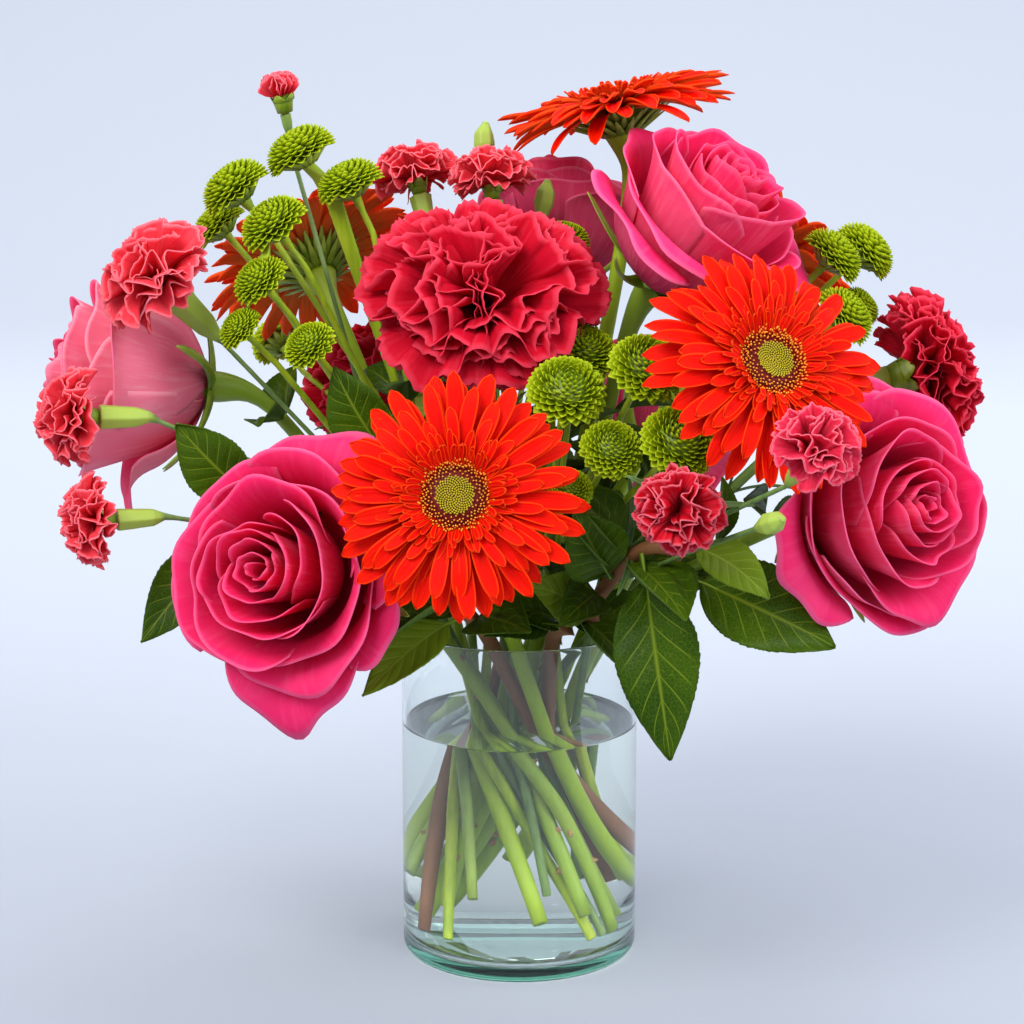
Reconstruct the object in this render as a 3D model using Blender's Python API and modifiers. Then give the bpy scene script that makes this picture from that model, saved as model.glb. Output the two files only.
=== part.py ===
"""A bouquet of gerberas, roses, carnations and button chrysanthemums in a clear glass vase.

Metres, +Z up, the front towards -Y. The origin is the centre of the vase's flat foot. Blooms and leaves
are set out round the vase's mouth and pushed apart until none of them touch. The stems are then laid
like springy cords from the blooms, through the mouth, to their feet in the water."""

import math

import bmesh
import bpy
import numpy as np
from mathutils import Vector

# The vase, a plain cylinder with a thick floor and a rounded foot.
VASE_RADIUS = 0.050
VASE_HEIGHT = 0.145
VASE_WALL = 0.003
VASE_FLOOR = 0.007
VASE_FOOT_ROUND = 0.005
VASE_SIDES = 40
WATER_DEPTH = 0.094

# Gaps: between solids that touch, and between pieces that are only near each other.
TOUCH_GAP = 0.0004
CLEARANCE = 0.0015
BODY_GAP = 0.0022
# The stems' own space over the mouth, which blooms and leaves keep out of.
THROAT_RADIUS = 0.036
THROAT_HEIGHT = 0.045

# Blooms: the radius and depth of each species. A bloom's size factor in BLOOMS scales both.
GERBERA_RADIUS = 0.050
GERBERA_DEPTH = 0.018
ROSE_RADIUS = 0.043
ROSE_DEPTH = 0.062
CARNATION_RADIUS = 0.045
CARNATION_DEPTH = 0.046
SPRAY_BLOOM_RADIUS = 0.020
SPRAY_BLOOM_DEPTH = 0.024
POM_RADIUS = 0.0155
POM_DEPTH = 0.017

# Stems: their radius, and that of a spray's side branches.
GERBERA_STEM = 0.0034
ROSE_STEM = 0.0030
CARNATION_STEM = 0.0022
SPRAY_STEM = 0.0020
POM_STEM = 0.0024
SALAL_STEM = 0.0032
CARNATION_BRANCH = 0.0012
POM_BRANCH = 0.0015
LEAF_THICKNESS = 0.0009
LEAF_REACH = 0.0028
LEAF_GAP = 0.0022
PETIOLE_RADIUS = 0.0012

# How a stem swells under its bloom: (distance below the bloom, radius) in metres.
GERBERA_CUP = ((0.000, 0.0090), (0.004, 0.0070), (0.009, 0.0042), (0.016, 0.0034))
ROSE_HIP = ((0.000, 0.0066), (0.005, 0.0070), (0.010, 0.0052), (0.016, 0.0030))
CARNATION_CALYX = ((0.000, 0.0080), (0.010, 0.0076), (0.022, 0.0062), (0.030, 0.0022))
SPRAY_CALYX = ((0.000, 0.0052), (0.008, 0.0050), (0.016, 0.0040), (0.022, 0.0012))
BUD_SWELLING = ((0.000, 0.0008), (0.004, 0.0042), (0.011, 0.0048), (0.019, 0.0012))
POM_CUP = ((0.000, 0.0040), (0.004, 0.0028), (0.008, 0.0015))
SIZES = {
    "gerbera": (GERBERA_RADIUS, GERBERA_DEPTH),
    "rose": (ROSE_RADIUS, ROSE_DEPTH),
    "carnation": (CARNATION_RADIUS, CARNATION_DEPTH),
    "spray_bloom": (SPRAY_BLOOM_RADIUS, SPRAY_BLOOM_DEPTH),
    "pom": (POM_RADIUS, POM_DEPTH),
}
SWELLINGS = {
    "gerbera": GERBERA_CUP,
    "rose": ROSE_HIP,
    "carnation": CARNATION_CALYX,
    "spray_bloom": SPRAY_CALYX,
    "pom": POM_CUP,
}

# A bloom's outline from its base to its rim and crown, in shares of its radius and depth.
OUTLINES = {
    "gerbera": ((0.19, 0.0), (0.45, 0.28), (0.8, 0.58), (1.0, 0.70), (0.96, 0.84), (0.30, 0.86), (0.0, 1.0)),
    "rose": ((0.15, 0.0), (0.58, 0.10), (0.86, 0.34), (1.0, 0.70), (0.90, 0.93), (0.45, 1.0), (0.0, 0.95)),
    "carnation": ((0.17, 0.0), (0.36, 0.16), (0.82, 0.42), (1.0, 0.62), (0.88, 0.84), (0.5, 0.96), (0.0, 1.0)),
    "pom": ((0.30, 0.0), (0.85, 0.20), (1.0, 0.52), (0.80, 0.84), (0.0, 1.0)),
}
SIDES = {"gerbera": 20, "rose": 12, "carnation": 12, "pom": 8}
ROD_RESOLUTION = 1
UNIT = 0.001
DIMPLE = 0.0006

# Blooms: name: (species, centre from the middle of the mouth, (azimuth, elevation) it faces, size factor).
# Azimuth 0 is the front, towards -Y, and 90 the right, towards +X.
BLOOMS = {
    "gerbera_front": ("gerbera", (-0.024, -0.128, 0.082), (-5, 21), 1.0),
    "gerbera_right": ("gerbera", (0.094, -0.098, 0.127), (26, 34), 1.02),
    "gerbera_top": ("gerbera", (0.044, 0.036, 0.206), (-110, 76), 1.04),
    "gerbera_left": ("gerbera", (-0.090, 0.070, 0.143), (-150, 40), 1.0),
    "gerbera_back": ("gerbera", (0.104, 0.088, 0.140), (140, 34), 1.0),
    "rose_front": ("rose", (-0.092, -0.094, 0.044), (-22, 16), 1.12),
    "rose_left": ("rose", (-0.164, 0.004, 0.103), (-84, 6), 1.12),
    "rose_top": ("rose", (0.072, -0.014, 0.176), (60, 52), 1.10),
    "rose_right": ("rose", (0.146, -0.070, 0.064), (36, 14), 1.08),
    "rose_rear": ("rose", (0.016, 0.066, 0.160), (180, 62), 0.92),
    "rose_back": ("rose", (0.062, 0.122, 0.062), (158, 18), 1.0),
    "carnation_centre": ("carnation", (-0.014, -0.048, 0.148), (-4, 50), 1.04),
    "carnation_right": ("carnation", (0.172, 0.012, 0.106), (98, 12), 0.78),
    "carnation_back": ("carnation", (-0.052, 0.118, 0.080), (200, 22), 0.95),
    "spray_upper_left": ("spray_bloom", (-0.149, -0.036, 0.155), (-55, 44), 1.3),
    "spray_far_left": ("spray_bloom", (-0.180, -0.066, 0.101), (-75, 3), 1.05),
    "spray_lower_left": ("spray_bloom", (-0.172, -0.074, 0.060), (-72, 0), 0.95),
    "spray_bud_left": ("spray_bloom", (-0.099, 0.032, 0.217), (-70, 80), 0.5),
    "spray_front": ("spray_bloom", (0.060, -0.138, 0.080), (-4, 14), 0.88),
    "spray_front_right": ("spray_bloom", (0.110, -0.160, 0.110), (25, 42), 0.88),
    "spray_top_left": ("spray_bloom", (-0.044, 0.030, 0.188), (-150, 66), 0.95),
    "spray_top": ("spray_bloom", (-0.012, 0.012, 0.190), (-170, 76), 0.95),
}

# Button chrysanthemums grow several to a spray: spray name: [(centre, size factor), ...].
POM_SPRAYS = {
    "pom_spray_left": (
        ((-0.118, 0.000, 0.185), 1.0),
        ((-0.091, 0.010, 0.198), 1.0),
        ((-0.071, 0.000, 0.188), 0.93),
        ((-0.100, -0.030, 0.174), 0.96),
        ((-0.127, 0.024, 0.166), 0.82),
        ((-0.105, -0.042, 0.153), 0.80),
        ((-0.084, -0.062, 0.130), 0.74),
        ((-0.113, -0.046, 0.134), 0.64),
    ),
    "pom_spray_centre": (
        ((0.018, -0.090, 0.119), 1.04),
        ((0.050, -0.088, 0.126), 1.02),
        ((0.036, -0.100, 0.096), 0.84),
        ((0.062, -0.106, 0.100), 1.02),
        ((0.025, -0.056, 0.129), 0.98),
        ((0.020, -0.092, 0.078), 0.60),
        ((0.018, -0.014, 0.166), 0.74),
    ),
    "pom_spray_right": (
        ((0.129, 0.002, 0.157), 0.90),
        ((0.146, 0.024, 0.155), 0.94),
        ((0.134, -0.020, 0.135), 0.90),
        ((0.144, 0.020, 0.132), 0.62),
    ),
    "pom_spray_back": (
        ((-0.012, 0.112, 0.138), 0.96),
        ((0.016, 0.116, 0.128), 0.92),
        ((0.004, 0.128, 0.106), 0.88),
        ((-0.110, 0.120, 0.100), 0.84),
    ),
}

# Spray carnations: spray name: (names of its blooms, ends of its closed buds).
CARNATION_SPRAYS = {
    "spray_stem_left": (
        ("spray_upper_left", "spray_far_left", "spray_lower_left", "spray_bud_left"),
        (),
    ),
    "spray_stem_front": (("spray_front", "spray_front_right"), ((0.098, -0.158, 0.081),)),
    "spray_stem_top": (
        ("spray_top_left", "spray_top"),
        ((-0.014, 0.046, 0.206), (0.012, 0.026, 0.184)),
    ),
}

# Salal leaves: name: (base, tip, the way its upper side faces, half-width, arch), from the mouth's middle.
LEAVES = {
    "leaf_front_hanging": ((0.048, -0.090, 0.051), (0.058, -0.106, -0.029), (0.1, -1.0, 0.3), 0.0170, 0.006),
    "leaf_right_low": ((0.064, -0.078, 0.040), (0.124, -0.092, 0.012), (0.1, -0.9, 0.5), 0.0180, 0.005),
    "leaf_right_high": ((0.066, -0.096, 0.056), (0.096, -0.118, 0.040), (0.1, -0.6, 0.8), 0.0105, 0.004),
    "leaf_centre_high": ((0.036, -0.078, 0.038), (0.020, -0.094, 0.068), (0.0, -1.0, 0.3), 0.0140, 0.003),
    "leaf_centre_low": ((0.030, -0.066, 0.020), (0.004, -0.082, 0.038), (0.0, -0.9, 0.5), 0.0110, 0.004),
    "leaf_rim_left": ((-0.024, -0.062, 0.018), (-0.063, -0.092, -0.006), (-0.2, -0.8, 0.6), 0.0100, 0.005),
    "leaf_rim_centre": ((0.016, -0.062, 0.014), (-0.014, -0.070, 0.012), (0.0, -0.5, 0.8), 0.0090, 0.004),
    "leaf_left_high": ((-0.108, -0.050, 0.064), (-0.138, -0.058, 0.096), (-0.2, -1.0, 0.2), 0.0130, 0.002),
    "leaf_left_low": ((-0.116, -0.046, 0.048), (-0.154, -0.062, 0.008), (-0.3, -1.0, 0.2), 0.0120, 0.004),
    "leaf_upper_left": ((-0.054, -0.058, 0.084), (-0.074, -0.062, 0.120), (-0.3, -1.0, 0.3), 0.0120, 0.002),
    "leaf_back_left": ((-0.044, 0.070, 0.030), (-0.104, 0.110, 0.014), (0.0, 0.8, 0.6), 0.0160, 0.006),
    "leaf_back_right": ((0.010, 0.072, 0.028), (0.014, 0.118, -0.022), (0.0, 0.9, 0.5), 0.0170, 0.006),
}
# Which leaves grow on which branch, from its lower end to its tip.
SALAL_BRANCHES = {
    "salal_branch_right": (
        "leaf_rim_centre",
        "leaf_centre_low",
        "leaf_centre_high",
        "leaf_front_hanging",
        "leaf_right_high",
        "leaf_right_low",
    ),
    "salal_branch_left": ("leaf_rim_left", "leaf_upper_left", "leaf_left_low", "leaf_left_high"),
    "salal_branch_back": ("leaf_back_right", "leaf_back_left"),
}
LEAF_ROWS = 7
PETIOLE_SHARE = 0.16

# The spiral that a florist ties: how far round the foot stands from the bloom, and the two radii.
FOOT_TURN = 128
NECK_RADIUS = 0.032
FOOT_RADIUS = 0.038
INNER_SHARE = 0.5

# The lay of the stems: spacing of their points, rounds of settling, and how stiff they are.
STEP = 0.005
PATH_POINTS = 24
BLOOM_ROUNDS = 240
STEM_ROUNDS = 400
NEIGHBOUR_ROUNDS = 8
NEIGHBOUR_REACH = 0.010
STIFFNESS = 0.3
STRAIGHTENING = 0.00035
LEAD = 0.020

COLOURS = {
    "glass": (0.80, 0.93, 0.90, 0.25, 0.05),
    "water": (0.85, 0.93, 0.92, 0.30, 0.05),
    "gerbera": (0.90, 0.10, 0.02, 1.0, 0.5),
    "rose": (0.85, 0.07, 0.28, 1.0, 0.5),
    "carnation": (0.80, 0.03, 0.16, 1.0, 0.6),
    "spray": (0.90, 0.16, 0.28, 1.0, 0.6),
    "pom": (0.32, 0.55, 0.04, 1.0, 0.6),
    "stem": (0.30, 0.48, 0.12, 1.0, 0.5),
    "wood": (0.28, 0.18, 0.12, 1.0, 0.6),
    "leaf": (0.08, 0.22, 0.04, 1.0, 0.4),
}


def mouth_point(place):
    """A point given from the middle of the vase's mouth, in the part's own frame."""
    return np.array(place, float) + (0, 0, VASE_HEIGHT)


def unit(vector):
    vector = np.asarray(vector, float)
    return vector / np.linalg.norm(vector)


def facing(azimuth, elevation):
    a, e = math.radians(azimuth), math.radians(elevation)
    return np.array((math.sin(a) * math.cos(e), -math.cos(a) * math.cos(e), math.sin(e)))


# ---- bodies that are pushed apart -------------------------------------------------------------------


class Bloom:
    """A turned solid on an axis: base is where its stem ends, and axis is the way it faces."""

    def __init__(self, name, species, centre, axis, size):
        self.name, self.species, self.axis = name, species, axis
        radius, depth = (size * side for side in SIZES[species])
        self.swelling = np.array(SWELLINGS[species]) * size
        self.radius, self.depth = radius, depth
        self.base = mouth_point(centre) - axis * depth / 2
        outline = np.array(OUTLINES["carnation" if species == "spray_bloom" else species])
        self.outline = outline * (radius, depth)
        widest = int(outline[:, 0].argmax())
        self.lower = self.outline[: widest + 1]
        self.upper = self.outline[widest:][::-1]
        self.weight = 1 / radius
        self.kin = name.rsplit("_", 1)[0] if species == "pom" else None

    def thin_points(self):
        """Points down the stalk under the bloom, and how much room each wants."""
        below = np.arange(1, 5) * LEAD / 4
        return self.base - np.outer(below, self.axis), np.interp(below, *self.swelling.T) + 0.001

    def points(self):
        side = unit(np.cross(self.axis, (0.3, 0.5, 0.8)))
        other = np.cross(self.axis, side)
        turns = np.linspace(0, 2 * math.pi, 14, endpoint=False)
        rings = np.outer(np.cos(turns), side) + np.outer(np.sin(turns), other)
        stalk = [(radius, -below) for below, radius in self.swelling]
        found = [self.base + r * rings + h * self.axis for r, h in (*self.outline, *stalk)]
        return np.concatenate(found)

    def push(self, points, reach):
        """How deep each point lies within reach of the solid, and the shortest way out of it."""
        local = points - self.base
        along = local @ self.axis
        across = local - np.outer(along, self.axis)
        radial = np.linalg.norm(across, axis=1)
        below = along - np.interp(radial, *self.lower.T) + reach
        above = np.interp(radial, *self.upper.T) - along + reach
        beside = self.radius - radial + reach
        depth = np.minimum(np.minimum(below, above), beside)
        out = across / np.maximum(radial, 1e-9)[:, None]
        out = np.where((above <= depth)[:, None], self.axis, out)
        out = np.where((below <= depth)[:, None], -self.axis, out)
        return depth, out

    def shift(self, by):
        self.base = self.base + by


class Leaf:
    """A thin arched sheet from base to tip. The first part of its length is the leaf's stalk."""

    def __init__(self, name, base, tip, upper, half_width, arch):
        self.name, self.base, self.tip = name, mouth_point(base), mouth_point(tip)
        self.half_width, self.arch = half_width, arch
        self.along = unit(self.tip - self.base)
        self.side = unit(np.cross(self.along, upper))
        self.up = np.cross(self.side, self.along)
        self.weight = 1 / half_width
        self.kin = None

    def thin_points(self):
        spots = self.points()
        return spots, np.full(len(spots), LEAF_REACH)

    def place(self, u, v):
        """The point a share u of the way to the tip and v half-widths to the side."""
        blade = max(0.0, (u - PETIOLE_SHARE) / (1 - PETIOLE_SHARE))
        width = self.half_width * math.sin(math.pi * min(blade, 1) ** 0.8) + PETIOLE_RADIUS * (1 - blade)
        lift = self.arch * 4 * u * (1 - u) + 0.18 * width * abs(v)
        return self.base + (self.tip - self.base) * u + self.side * width * v + self.up * lift

    def points(self):
        spots = [(u, v) for u in np.linspace(0.05, 0.98, 9) for v in (-1, -0.5, 0, 0.5, 1)]
        return np.array([self.place(u, v) for u, v in spots])

    def shift(self, by):
        self.base = self.base + by
        self.tip = self.tip + by


class Column:
    """An upright cylinder that stays where it is: the vase, or the stems' space over its mouth."""

    def __init__(self, radius, top):
        self.radius, self.top, self.weight = radius, top, 0.0

    def push(self, points, reach):
        radial = np.hypot(points[:, 0], points[:, 1])
        beside, above = self.radius + reach - radial, self.top + reach - points[:, 2]
        out = points * (1, 1, 0) / np.maximum(radial, 1e-9)[:, None]
        out = np.where((above < beside)[:, None], (0.0, 0.0, 1.0), out)
        return np.minimum(beside, above), out


def settle_bodies(blooms, leaves):
    """Pushes blooms and leaves apart, a little at a time, until they are clear of each other."""
    fixed = [
        Column(VASE_RADIUS, VASE_HEIGHT),
        Column(THROAT_RADIUS, VASE_HEIGHT + THROAT_HEIGHT),
    ]
    bodies = blooms + leaves
    for _ in range(BLOOM_ROUNDS):
        clouds = [body.points() for body in bodies]
        starts = np.cumsum([0] + [len(cloud) for cloud in clouds[:-1]])
        owner = np.repeat(np.arange(len(bodies)), [len(cloud) for cloud in clouds])
        cloud = np.concatenate(clouds)
        touching = part_thin_pieces(bodies)
        for number, solid in enumerate(blooms + fixed):
            depth, out = solid.push(cloud, BODY_GAP)
            if number < len(blooms):
                depth[owner == number] = -1
            deepest = np.maximum.reduceat(depth, starts)
            for other in np.flatnonzero(deepest > 0):
                at = np.flatnonzero((owner == other) & (depth == deepest[other]))[0]
                total = solid.weight + bodies[other].weight
                by = out[at] * deepest[other] * 0.6
                bodies[other].shift(by * bodies[other].weight / total)
                if solid.weight:
                    solid.shift(-by * solid.weight / total)
                touching += deepest[other] > 0.0004
        if not touching:
            return


def part_thin_pieces(bodies):
    """Moves leaves and the stalks under blooms off each other. Returns how many touched."""
    spots, reach = zip(*(body.thin_points() for body in bodies))
    owner = np.repeat(np.arange(len(bodies)), [len(cloud) for cloud in spots])
    kin = np.array([body.kin if body.kin else number for number, body in enumerate(bodies)], object)[owner]
    spots, reach = np.concatenate(spots), np.concatenate(reach)
    apart = spots[:, None] - spots[None]
    far = np.linalg.norm(apart, axis=2)
    short = reach[:, None] + reach[None] - far
    i, j = np.nonzero((short > 0) & (owner[:, None] != owner[None]) & (kin[:, None] != kin[None]))
    moves = np.zeros((len(bodies), 3))
    np.add.at(moves, owner[i], apart[i, j] * (0.3 * short[i, j] / np.maximum(far[i, j], 1e-9))[:, None])
    for body, move in zip(bodies, moves):
        body.shift(move * min(1, 0.002 / max(np.linalg.norm(move), 1e-9)))
    return len(i)


# ---- stems -------------------------------------------------------------------------------------------


class Stem:
    """A springy cord from its first point to its last. family names the plant that it belongs to.

    Its foot is free to slide about the vase, its top is held by its bloom, and a branch's start stays
    with the numbered point of the stem that it leaves."""

    def __init__(self, name, family, path, radius, swelling=(), bloom=None, held=(), leaves=None):
        self.name, self.family, self.bloom, self.leaves = name, family, bloom, leaves
        self.points, self.held = spaced(path, held)
        last = len(self.points) - 1
        self.radii = np.full(last + 1, radius)
        if len(swelling):
            below = (last - np.arange(last + 1)) * np.linalg.norm(self.points[-1] - self.points[-2])
            self.radii = np.maximum(np.interp(below, *swelling.T, right=0), radius)
        if bloom is not None:
            lead = int(LEAD / STEP)
            self.held |= {k for k in range(last - lead, last + 1) if k > 0}


def spaced(path, held):
    """The path's points at even steps, and the numbers of those nearest to the held points."""
    path = np.array(path, float)
    run = np.concatenate([[0], np.cumsum(np.linalg.norm(np.diff(path, axis=0), axis=1))])
    count = max(4, int(round(run[-1] / STEP)) + 1)
    at = np.linspace(0, run[-1], count)
    points = np.stack([np.interp(at, run, path[:, k]) for k in range(3)], axis=1)
    kept = {int(np.linalg.norm(points - place, axis=1).argmin()) for place in held}
    for place in held:
        points[int(np.linalg.norm(points - place, axis=1).argmin())] = place
    return points, kept


def stem_path(places, top):
    """A smooth curve through the places, and from the last of them straight up to the bloom."""
    return smooth_path((*places, top))[: -PATH_POINTS - 1] + [places[-1], top]


def smooth_path(places):
    """Points along a smooth curve through the places."""
    places = [np.array(place, float) for place in places]
    ends = [2 * places[0] - places[1], *places, 2 * places[-1] - places[-2]]
    found = []
    for a, b, c, d in zip(ends, ends[1:], ends[2:], ends[3:]):
        for t in np.linspace(0, 1, PATH_POINTS, endpoint=False):
            found.append(
                0.5 * (2 * b + (c - a) * t + (2 * a - 5 * b + 4 * c - d) * t**2 + (3 * b - a - 3 * c + d) * t**3)
            )
    return found + [places[-1]]


def down_to_foot(number, target):
    """The stem's neck and foot in the vase: on the bloom's side above, and across the vase below."""
    round_by = math.atan2(target[1], target[0])
    reach = math.hypot(target[0], target[1]) / max(target[2] - VASE_HEIGHT, 0.02)
    share = 1.0 if reach > 0.45 else INNER_SHARE
    turn = math.radians(FOOT_TURN + 9 * math.sin(2.4 * number))
    wander = 0.22 * math.sin(1.7 * number + 0.5)
    room = (VASE_RADIUS - VASE_WALL) / 0.047
    neck_radius, foot_radius = NECK_RADIUS * share * room, FOOT_RADIUS * (0.6 + 0.4 * share) * room
    neck = (neck_radius * math.cos(round_by + wander), neck_radius * math.sin(round_by + wander), VASE_HEIGHT)
    low = VASE_FLOOR + 0.005 + foot_lift(number)
    foot = (foot_radius * math.cos(round_by + turn), foot_radius * math.sin(round_by + turn), low)
    return np.array(foot), np.array(neck)


def under(bloom):
    """Where a stem ends under its bloom, and a place further down the bloom's axis."""
    top = bloom.base - bloom.axis * TOUCH_GAP
    return top, top - bloom.axis * LEAD


def fork_of(places):
    """Where a spray's stem ends: part of the way from the mouth to its blooms."""
    middle = np.mean(places, axis=0)
    mouth = mouth_point((0, 0, 0))
    return mouth + (middle - mouth) * 0.42


def stems_for(blooms, leaves):
    """Every stem with its branches, by the name of the plant. The first of each is the main stem."""
    by_name = {bloom.name: bloom for bloom in blooms}
    radii = {"gerbera": GERBERA_STEM, "rose": ROSE_STEM, "carnation": CARNATION_STEM}
    plants = {}
    for name, (species, *_) in BLOOMS.items():
        if species in radii:
            top, below = under(by_name[name])
            path = stem_path((*down_to_foot(len(plants), below), below), top)
            plants[name + "_stem"] = [
                Stem(name + "_stem", name, path, radii[species], by_name[name].swelling, by_name[name])
            ]
    for name, (heads, buds) in CARNATION_SPRAYS.items():
        own = [by_name[head] for head in heads]
        plants[name] = branching(name, len(plants), own, buds, SPRAY_STEM, CARNATION_BRANCH)
    for name, heads in POM_SPRAYS.items():
        own = [by_name[f"{name}_{j}"] for j in range(len(heads))]
        plants[name] = branching(name, len(plants), own, (), POM_STEM, POM_BRANCH)
    for name, members in SALAL_BRANCHES.items():
        own = [leaf for member in members for leaf in leaves if leaf.name == member]
        joints = [leaf.base - unit(leaf.along + leaf.up) * (SALAL_STEM + LEAF_GAP) for leaf in own]
        path = smooth_path((*down_to_foot(len(plants), joints[0]), *joints))
        plants[name] = [Stem(name, name, path, SALAL_STEM, held=joints, leaves=members)]
    return plants


def branching(name, number, heads, buds, stem_radius, branch_radius):
    """A spray: its main stem, a branch to each of its heads and one to each of its closed buds."""
    lower = [under(head)[1] for head in heads]
    fork = fork_of(lower)
    trunk = Stem(name, name, smooth_path((*down_to_foot(number, fork), fork)), stem_radius)
    found = [trunk]
    last = len(trunk.points) - 1
    for head, below in zip(heads, lower):
        top = under(head)[0]
        if head.species == "pom":
            top = head.base + head.axis * head.depth / 4
        joint = max(last - len(found) + 1, 1)
        path = stem_path((trunk.points[joint], below), top)
        found.append(Stem(f"{name}_{head.name}", name, path, branch_radius, head.swelling, head))
        found[-1].joint = joint
    for number, bud in enumerate(buds):
        joint = max(last - len(found) + 1, 1)
        path = smooth_path((trunk.points[joint], mouth_point(bud)))
        found.append(Stem(f"{name}_bud_{number}", name, path, branch_radius, np.array(BUD_SWELLING)))
        found[-1].joint = joint
    return found


def foot_lift(number):
    """How far over the floor a stem ends: stems lean on each other, and few reach the bottom."""
    return 0.012 * (1 + math.sin(2.1 * number))


def settle_stems(plants, blooms, leaves):
    """Lays the stems: pushes them off each other and off blooms, leaves and glass, and relaxes them."""
    stems = [stem for group in plants.values() for stem in group]
    sizes = [len(stem.points) for stem in stems]
    starts = np.cumsum([0] + sizes)
    families = list(dict.fromkeys(stem.family for stem in stems))
    sheets = [(leaf.points(), name) for name, own in SALAL_BRANCHES.items() for leaf in leaves if leaf.name in own]
    spots = np.concatenate([stem.points for stem in stems] + [places for places, _ in sheets])
    radii = np.concatenate([stem.radii for stem in stems] + [np.full(len(places), LEAF_REACH) for places, _ in sheets])
    family = np.repeat([families.index(stem.family) for stem in stems], sizes)
    family = np.concatenate([family, *(np.full(len(places), families.index(name)) for places, name in sheets)])
    held = np.ones(len(spots), bool)
    held[: starts[-1]] = False
    for start, stem in zip(starts, stems):
        held[[start + k for k in stem.held]] = True
    ends = np.concatenate([starts[:-1], starts[1:] - 1, np.arange(starts[-1], len(spots))])
    joints = [
        (starts[stems.index(stem)], starts[stems.index(group[0])] + stem.joint)
        for group in plants.values()
        for stem in group[1:]
    ]
    owned = [np.zeros(len(spots), bool) for _ in blooms]
    for own, bloom in zip(owned, blooms):
        own[starts[-1] :] = True
        for start, stem in zip(starts, stems):
            own[start : start + len(stem.points)] = is_own(stem, bloom)
    for turn in range(STEM_ROUNDS):
        if turn % NEIGHBOUR_ROUNDS == 0:
            i, j = neighbours(spots, radii, family)
            wanted = radii[i] + radii[j] + CLEARANCE
        apart = spots[i] - spots[j]
        far = np.maximum(np.linalg.norm(apart, axis=1), 1e-6)
        push = np.zeros_like(spots)
        np.add.at(push, i, apart * (np.maximum(wanted - far, 0) * 0.45 / far)[:, None])
        for bloom, own in zip(blooms, owned):
            depth, out = bloom.push(spots, CLEARANCE)
            push += out * np.maximum(np.where(own, 0, depth + radii), 0)[:, None] * 0.5
        length = np.linalg.norm(push, axis=1)
        push *= (np.minimum(length, 0.003) / np.maximum(length, 1e-12))[:, None]
        bend = np.zeros_like(spots)
        bend[1:-1] = spots[:-2] + spots[2:] - 2 * spots[1:-1]
        bend[ends] = 0
        stiffness = STIFFNESS * min(1, 0.15 + 2 * (1 - turn / STEM_ROUNDS))
        spots = np.where(held[:, None], spots, spots + push + stiffness * bend)
        spots = inside_vase(spots, radii, held)
        for start, joint in joints:
            spots[start] = spots[joint] = (spots[start] + spots[joint]) / 2
    for start, stem in zip(starts, stems):
        stem.points = spots[start : start + len(stem.points)]


def neighbours(spots, radii, family):
    """Pairs of points of different plants that are near enough to come into touch soon."""
    square = (spots**2).sum(axis=1)
    far = square[:, None] + square[None] - 2 * spots @ spots.T
    reach = radii[:, None] + radii[None] + NEIGHBOUR_REACH
    return np.nonzero((far < reach**2) & (family[:, None] != family[None]))


def is_own(stem, bloom):
    """Whether the bloom grows on the stem. A button spray's stem and heads are all one piece."""
    return bloom is stem.bloom or (bloom.species == "pom" and bloom.name.startswith(stem.family + "_"))


def inside_vase(spots, radii, held):
    """Keeps the points within the glass, and over the rim lets them out along a cone."""
    over = np.maximum(spots[:, 2] - VASE_HEIGHT - 0.002 - radii, 0)
    room = VASE_RADIUS - VASE_WALL - radii - CLEARANCE + 1.4 * over
    radial = np.hypot(spots[:, 0], spots[:, 1])
    outside = (spots[:, 2] < VASE_HEIGHT + 0.03) & ~held & (radial > room)
    kept = spots.copy()
    kept[:, :2] *= np.where(outside, room / np.maximum(radial, 1e-9), 1.0)[:, None]
    floor = VASE_FLOOR + radii + CLEARANCE
    kept[:, 2] = np.where(held, kept[:, 2], np.maximum(kept[:, 2], floor))
    return kept


# ---- solids ------------------------------------------------------------------------------------------


def collection(name, parent=None, hidden=False):
    made = bpy.data.collections.new(name)
    (parent or bpy.context.scene.collection).children.link(made)
    made.hide_render = hidden
    return made


def material(name):
    red, green, blue, alpha, roughness = COLOURS[name]
    made = bpy.data.materials.get(name) or bpy.data.materials.new(name)
    made.use_nodes = True
    shader = made.node_tree.nodes["Principled BSDF"]
    shader.inputs["Base Color"].default_value = (red, green, blue, 1)
    shader.inputs["Alpha"].default_value = alpha
    shader.inputs["Roughness"].default_value = roughness
    shader.inputs["Metallic"].default_value = 0
    return made


def add_object(name, data, where, colour):
    made = bpy.data.objects.new(name, data)
    where.objects.link(made)
    data.materials.clear()
    data.materials.append(material(colour))
    return made


def turned(name, outline, sides, where, colour):
    """A solid of revolution about Z. The outline runs from its top to its base, on the +X side."""
    mesh = bpy.data.meshes.new(name)
    points = [(radius, 0, height) for radius, height in outline]
    mesh.from_pydata(points, [(k, k + 1) for k in range(len(points) - 1)], [])
    made = add_object(name, mesh, where, colour)
    screw = made.modifiers.new("turn", "SCREW")
    screw.axis = "Z"
    screw.steps = screw.render_steps = sides
    screw.use_merge_vertices = True
    screw.merge_threshold = 0.00002
    screw.use_smooth_shade = True
    return made


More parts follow.
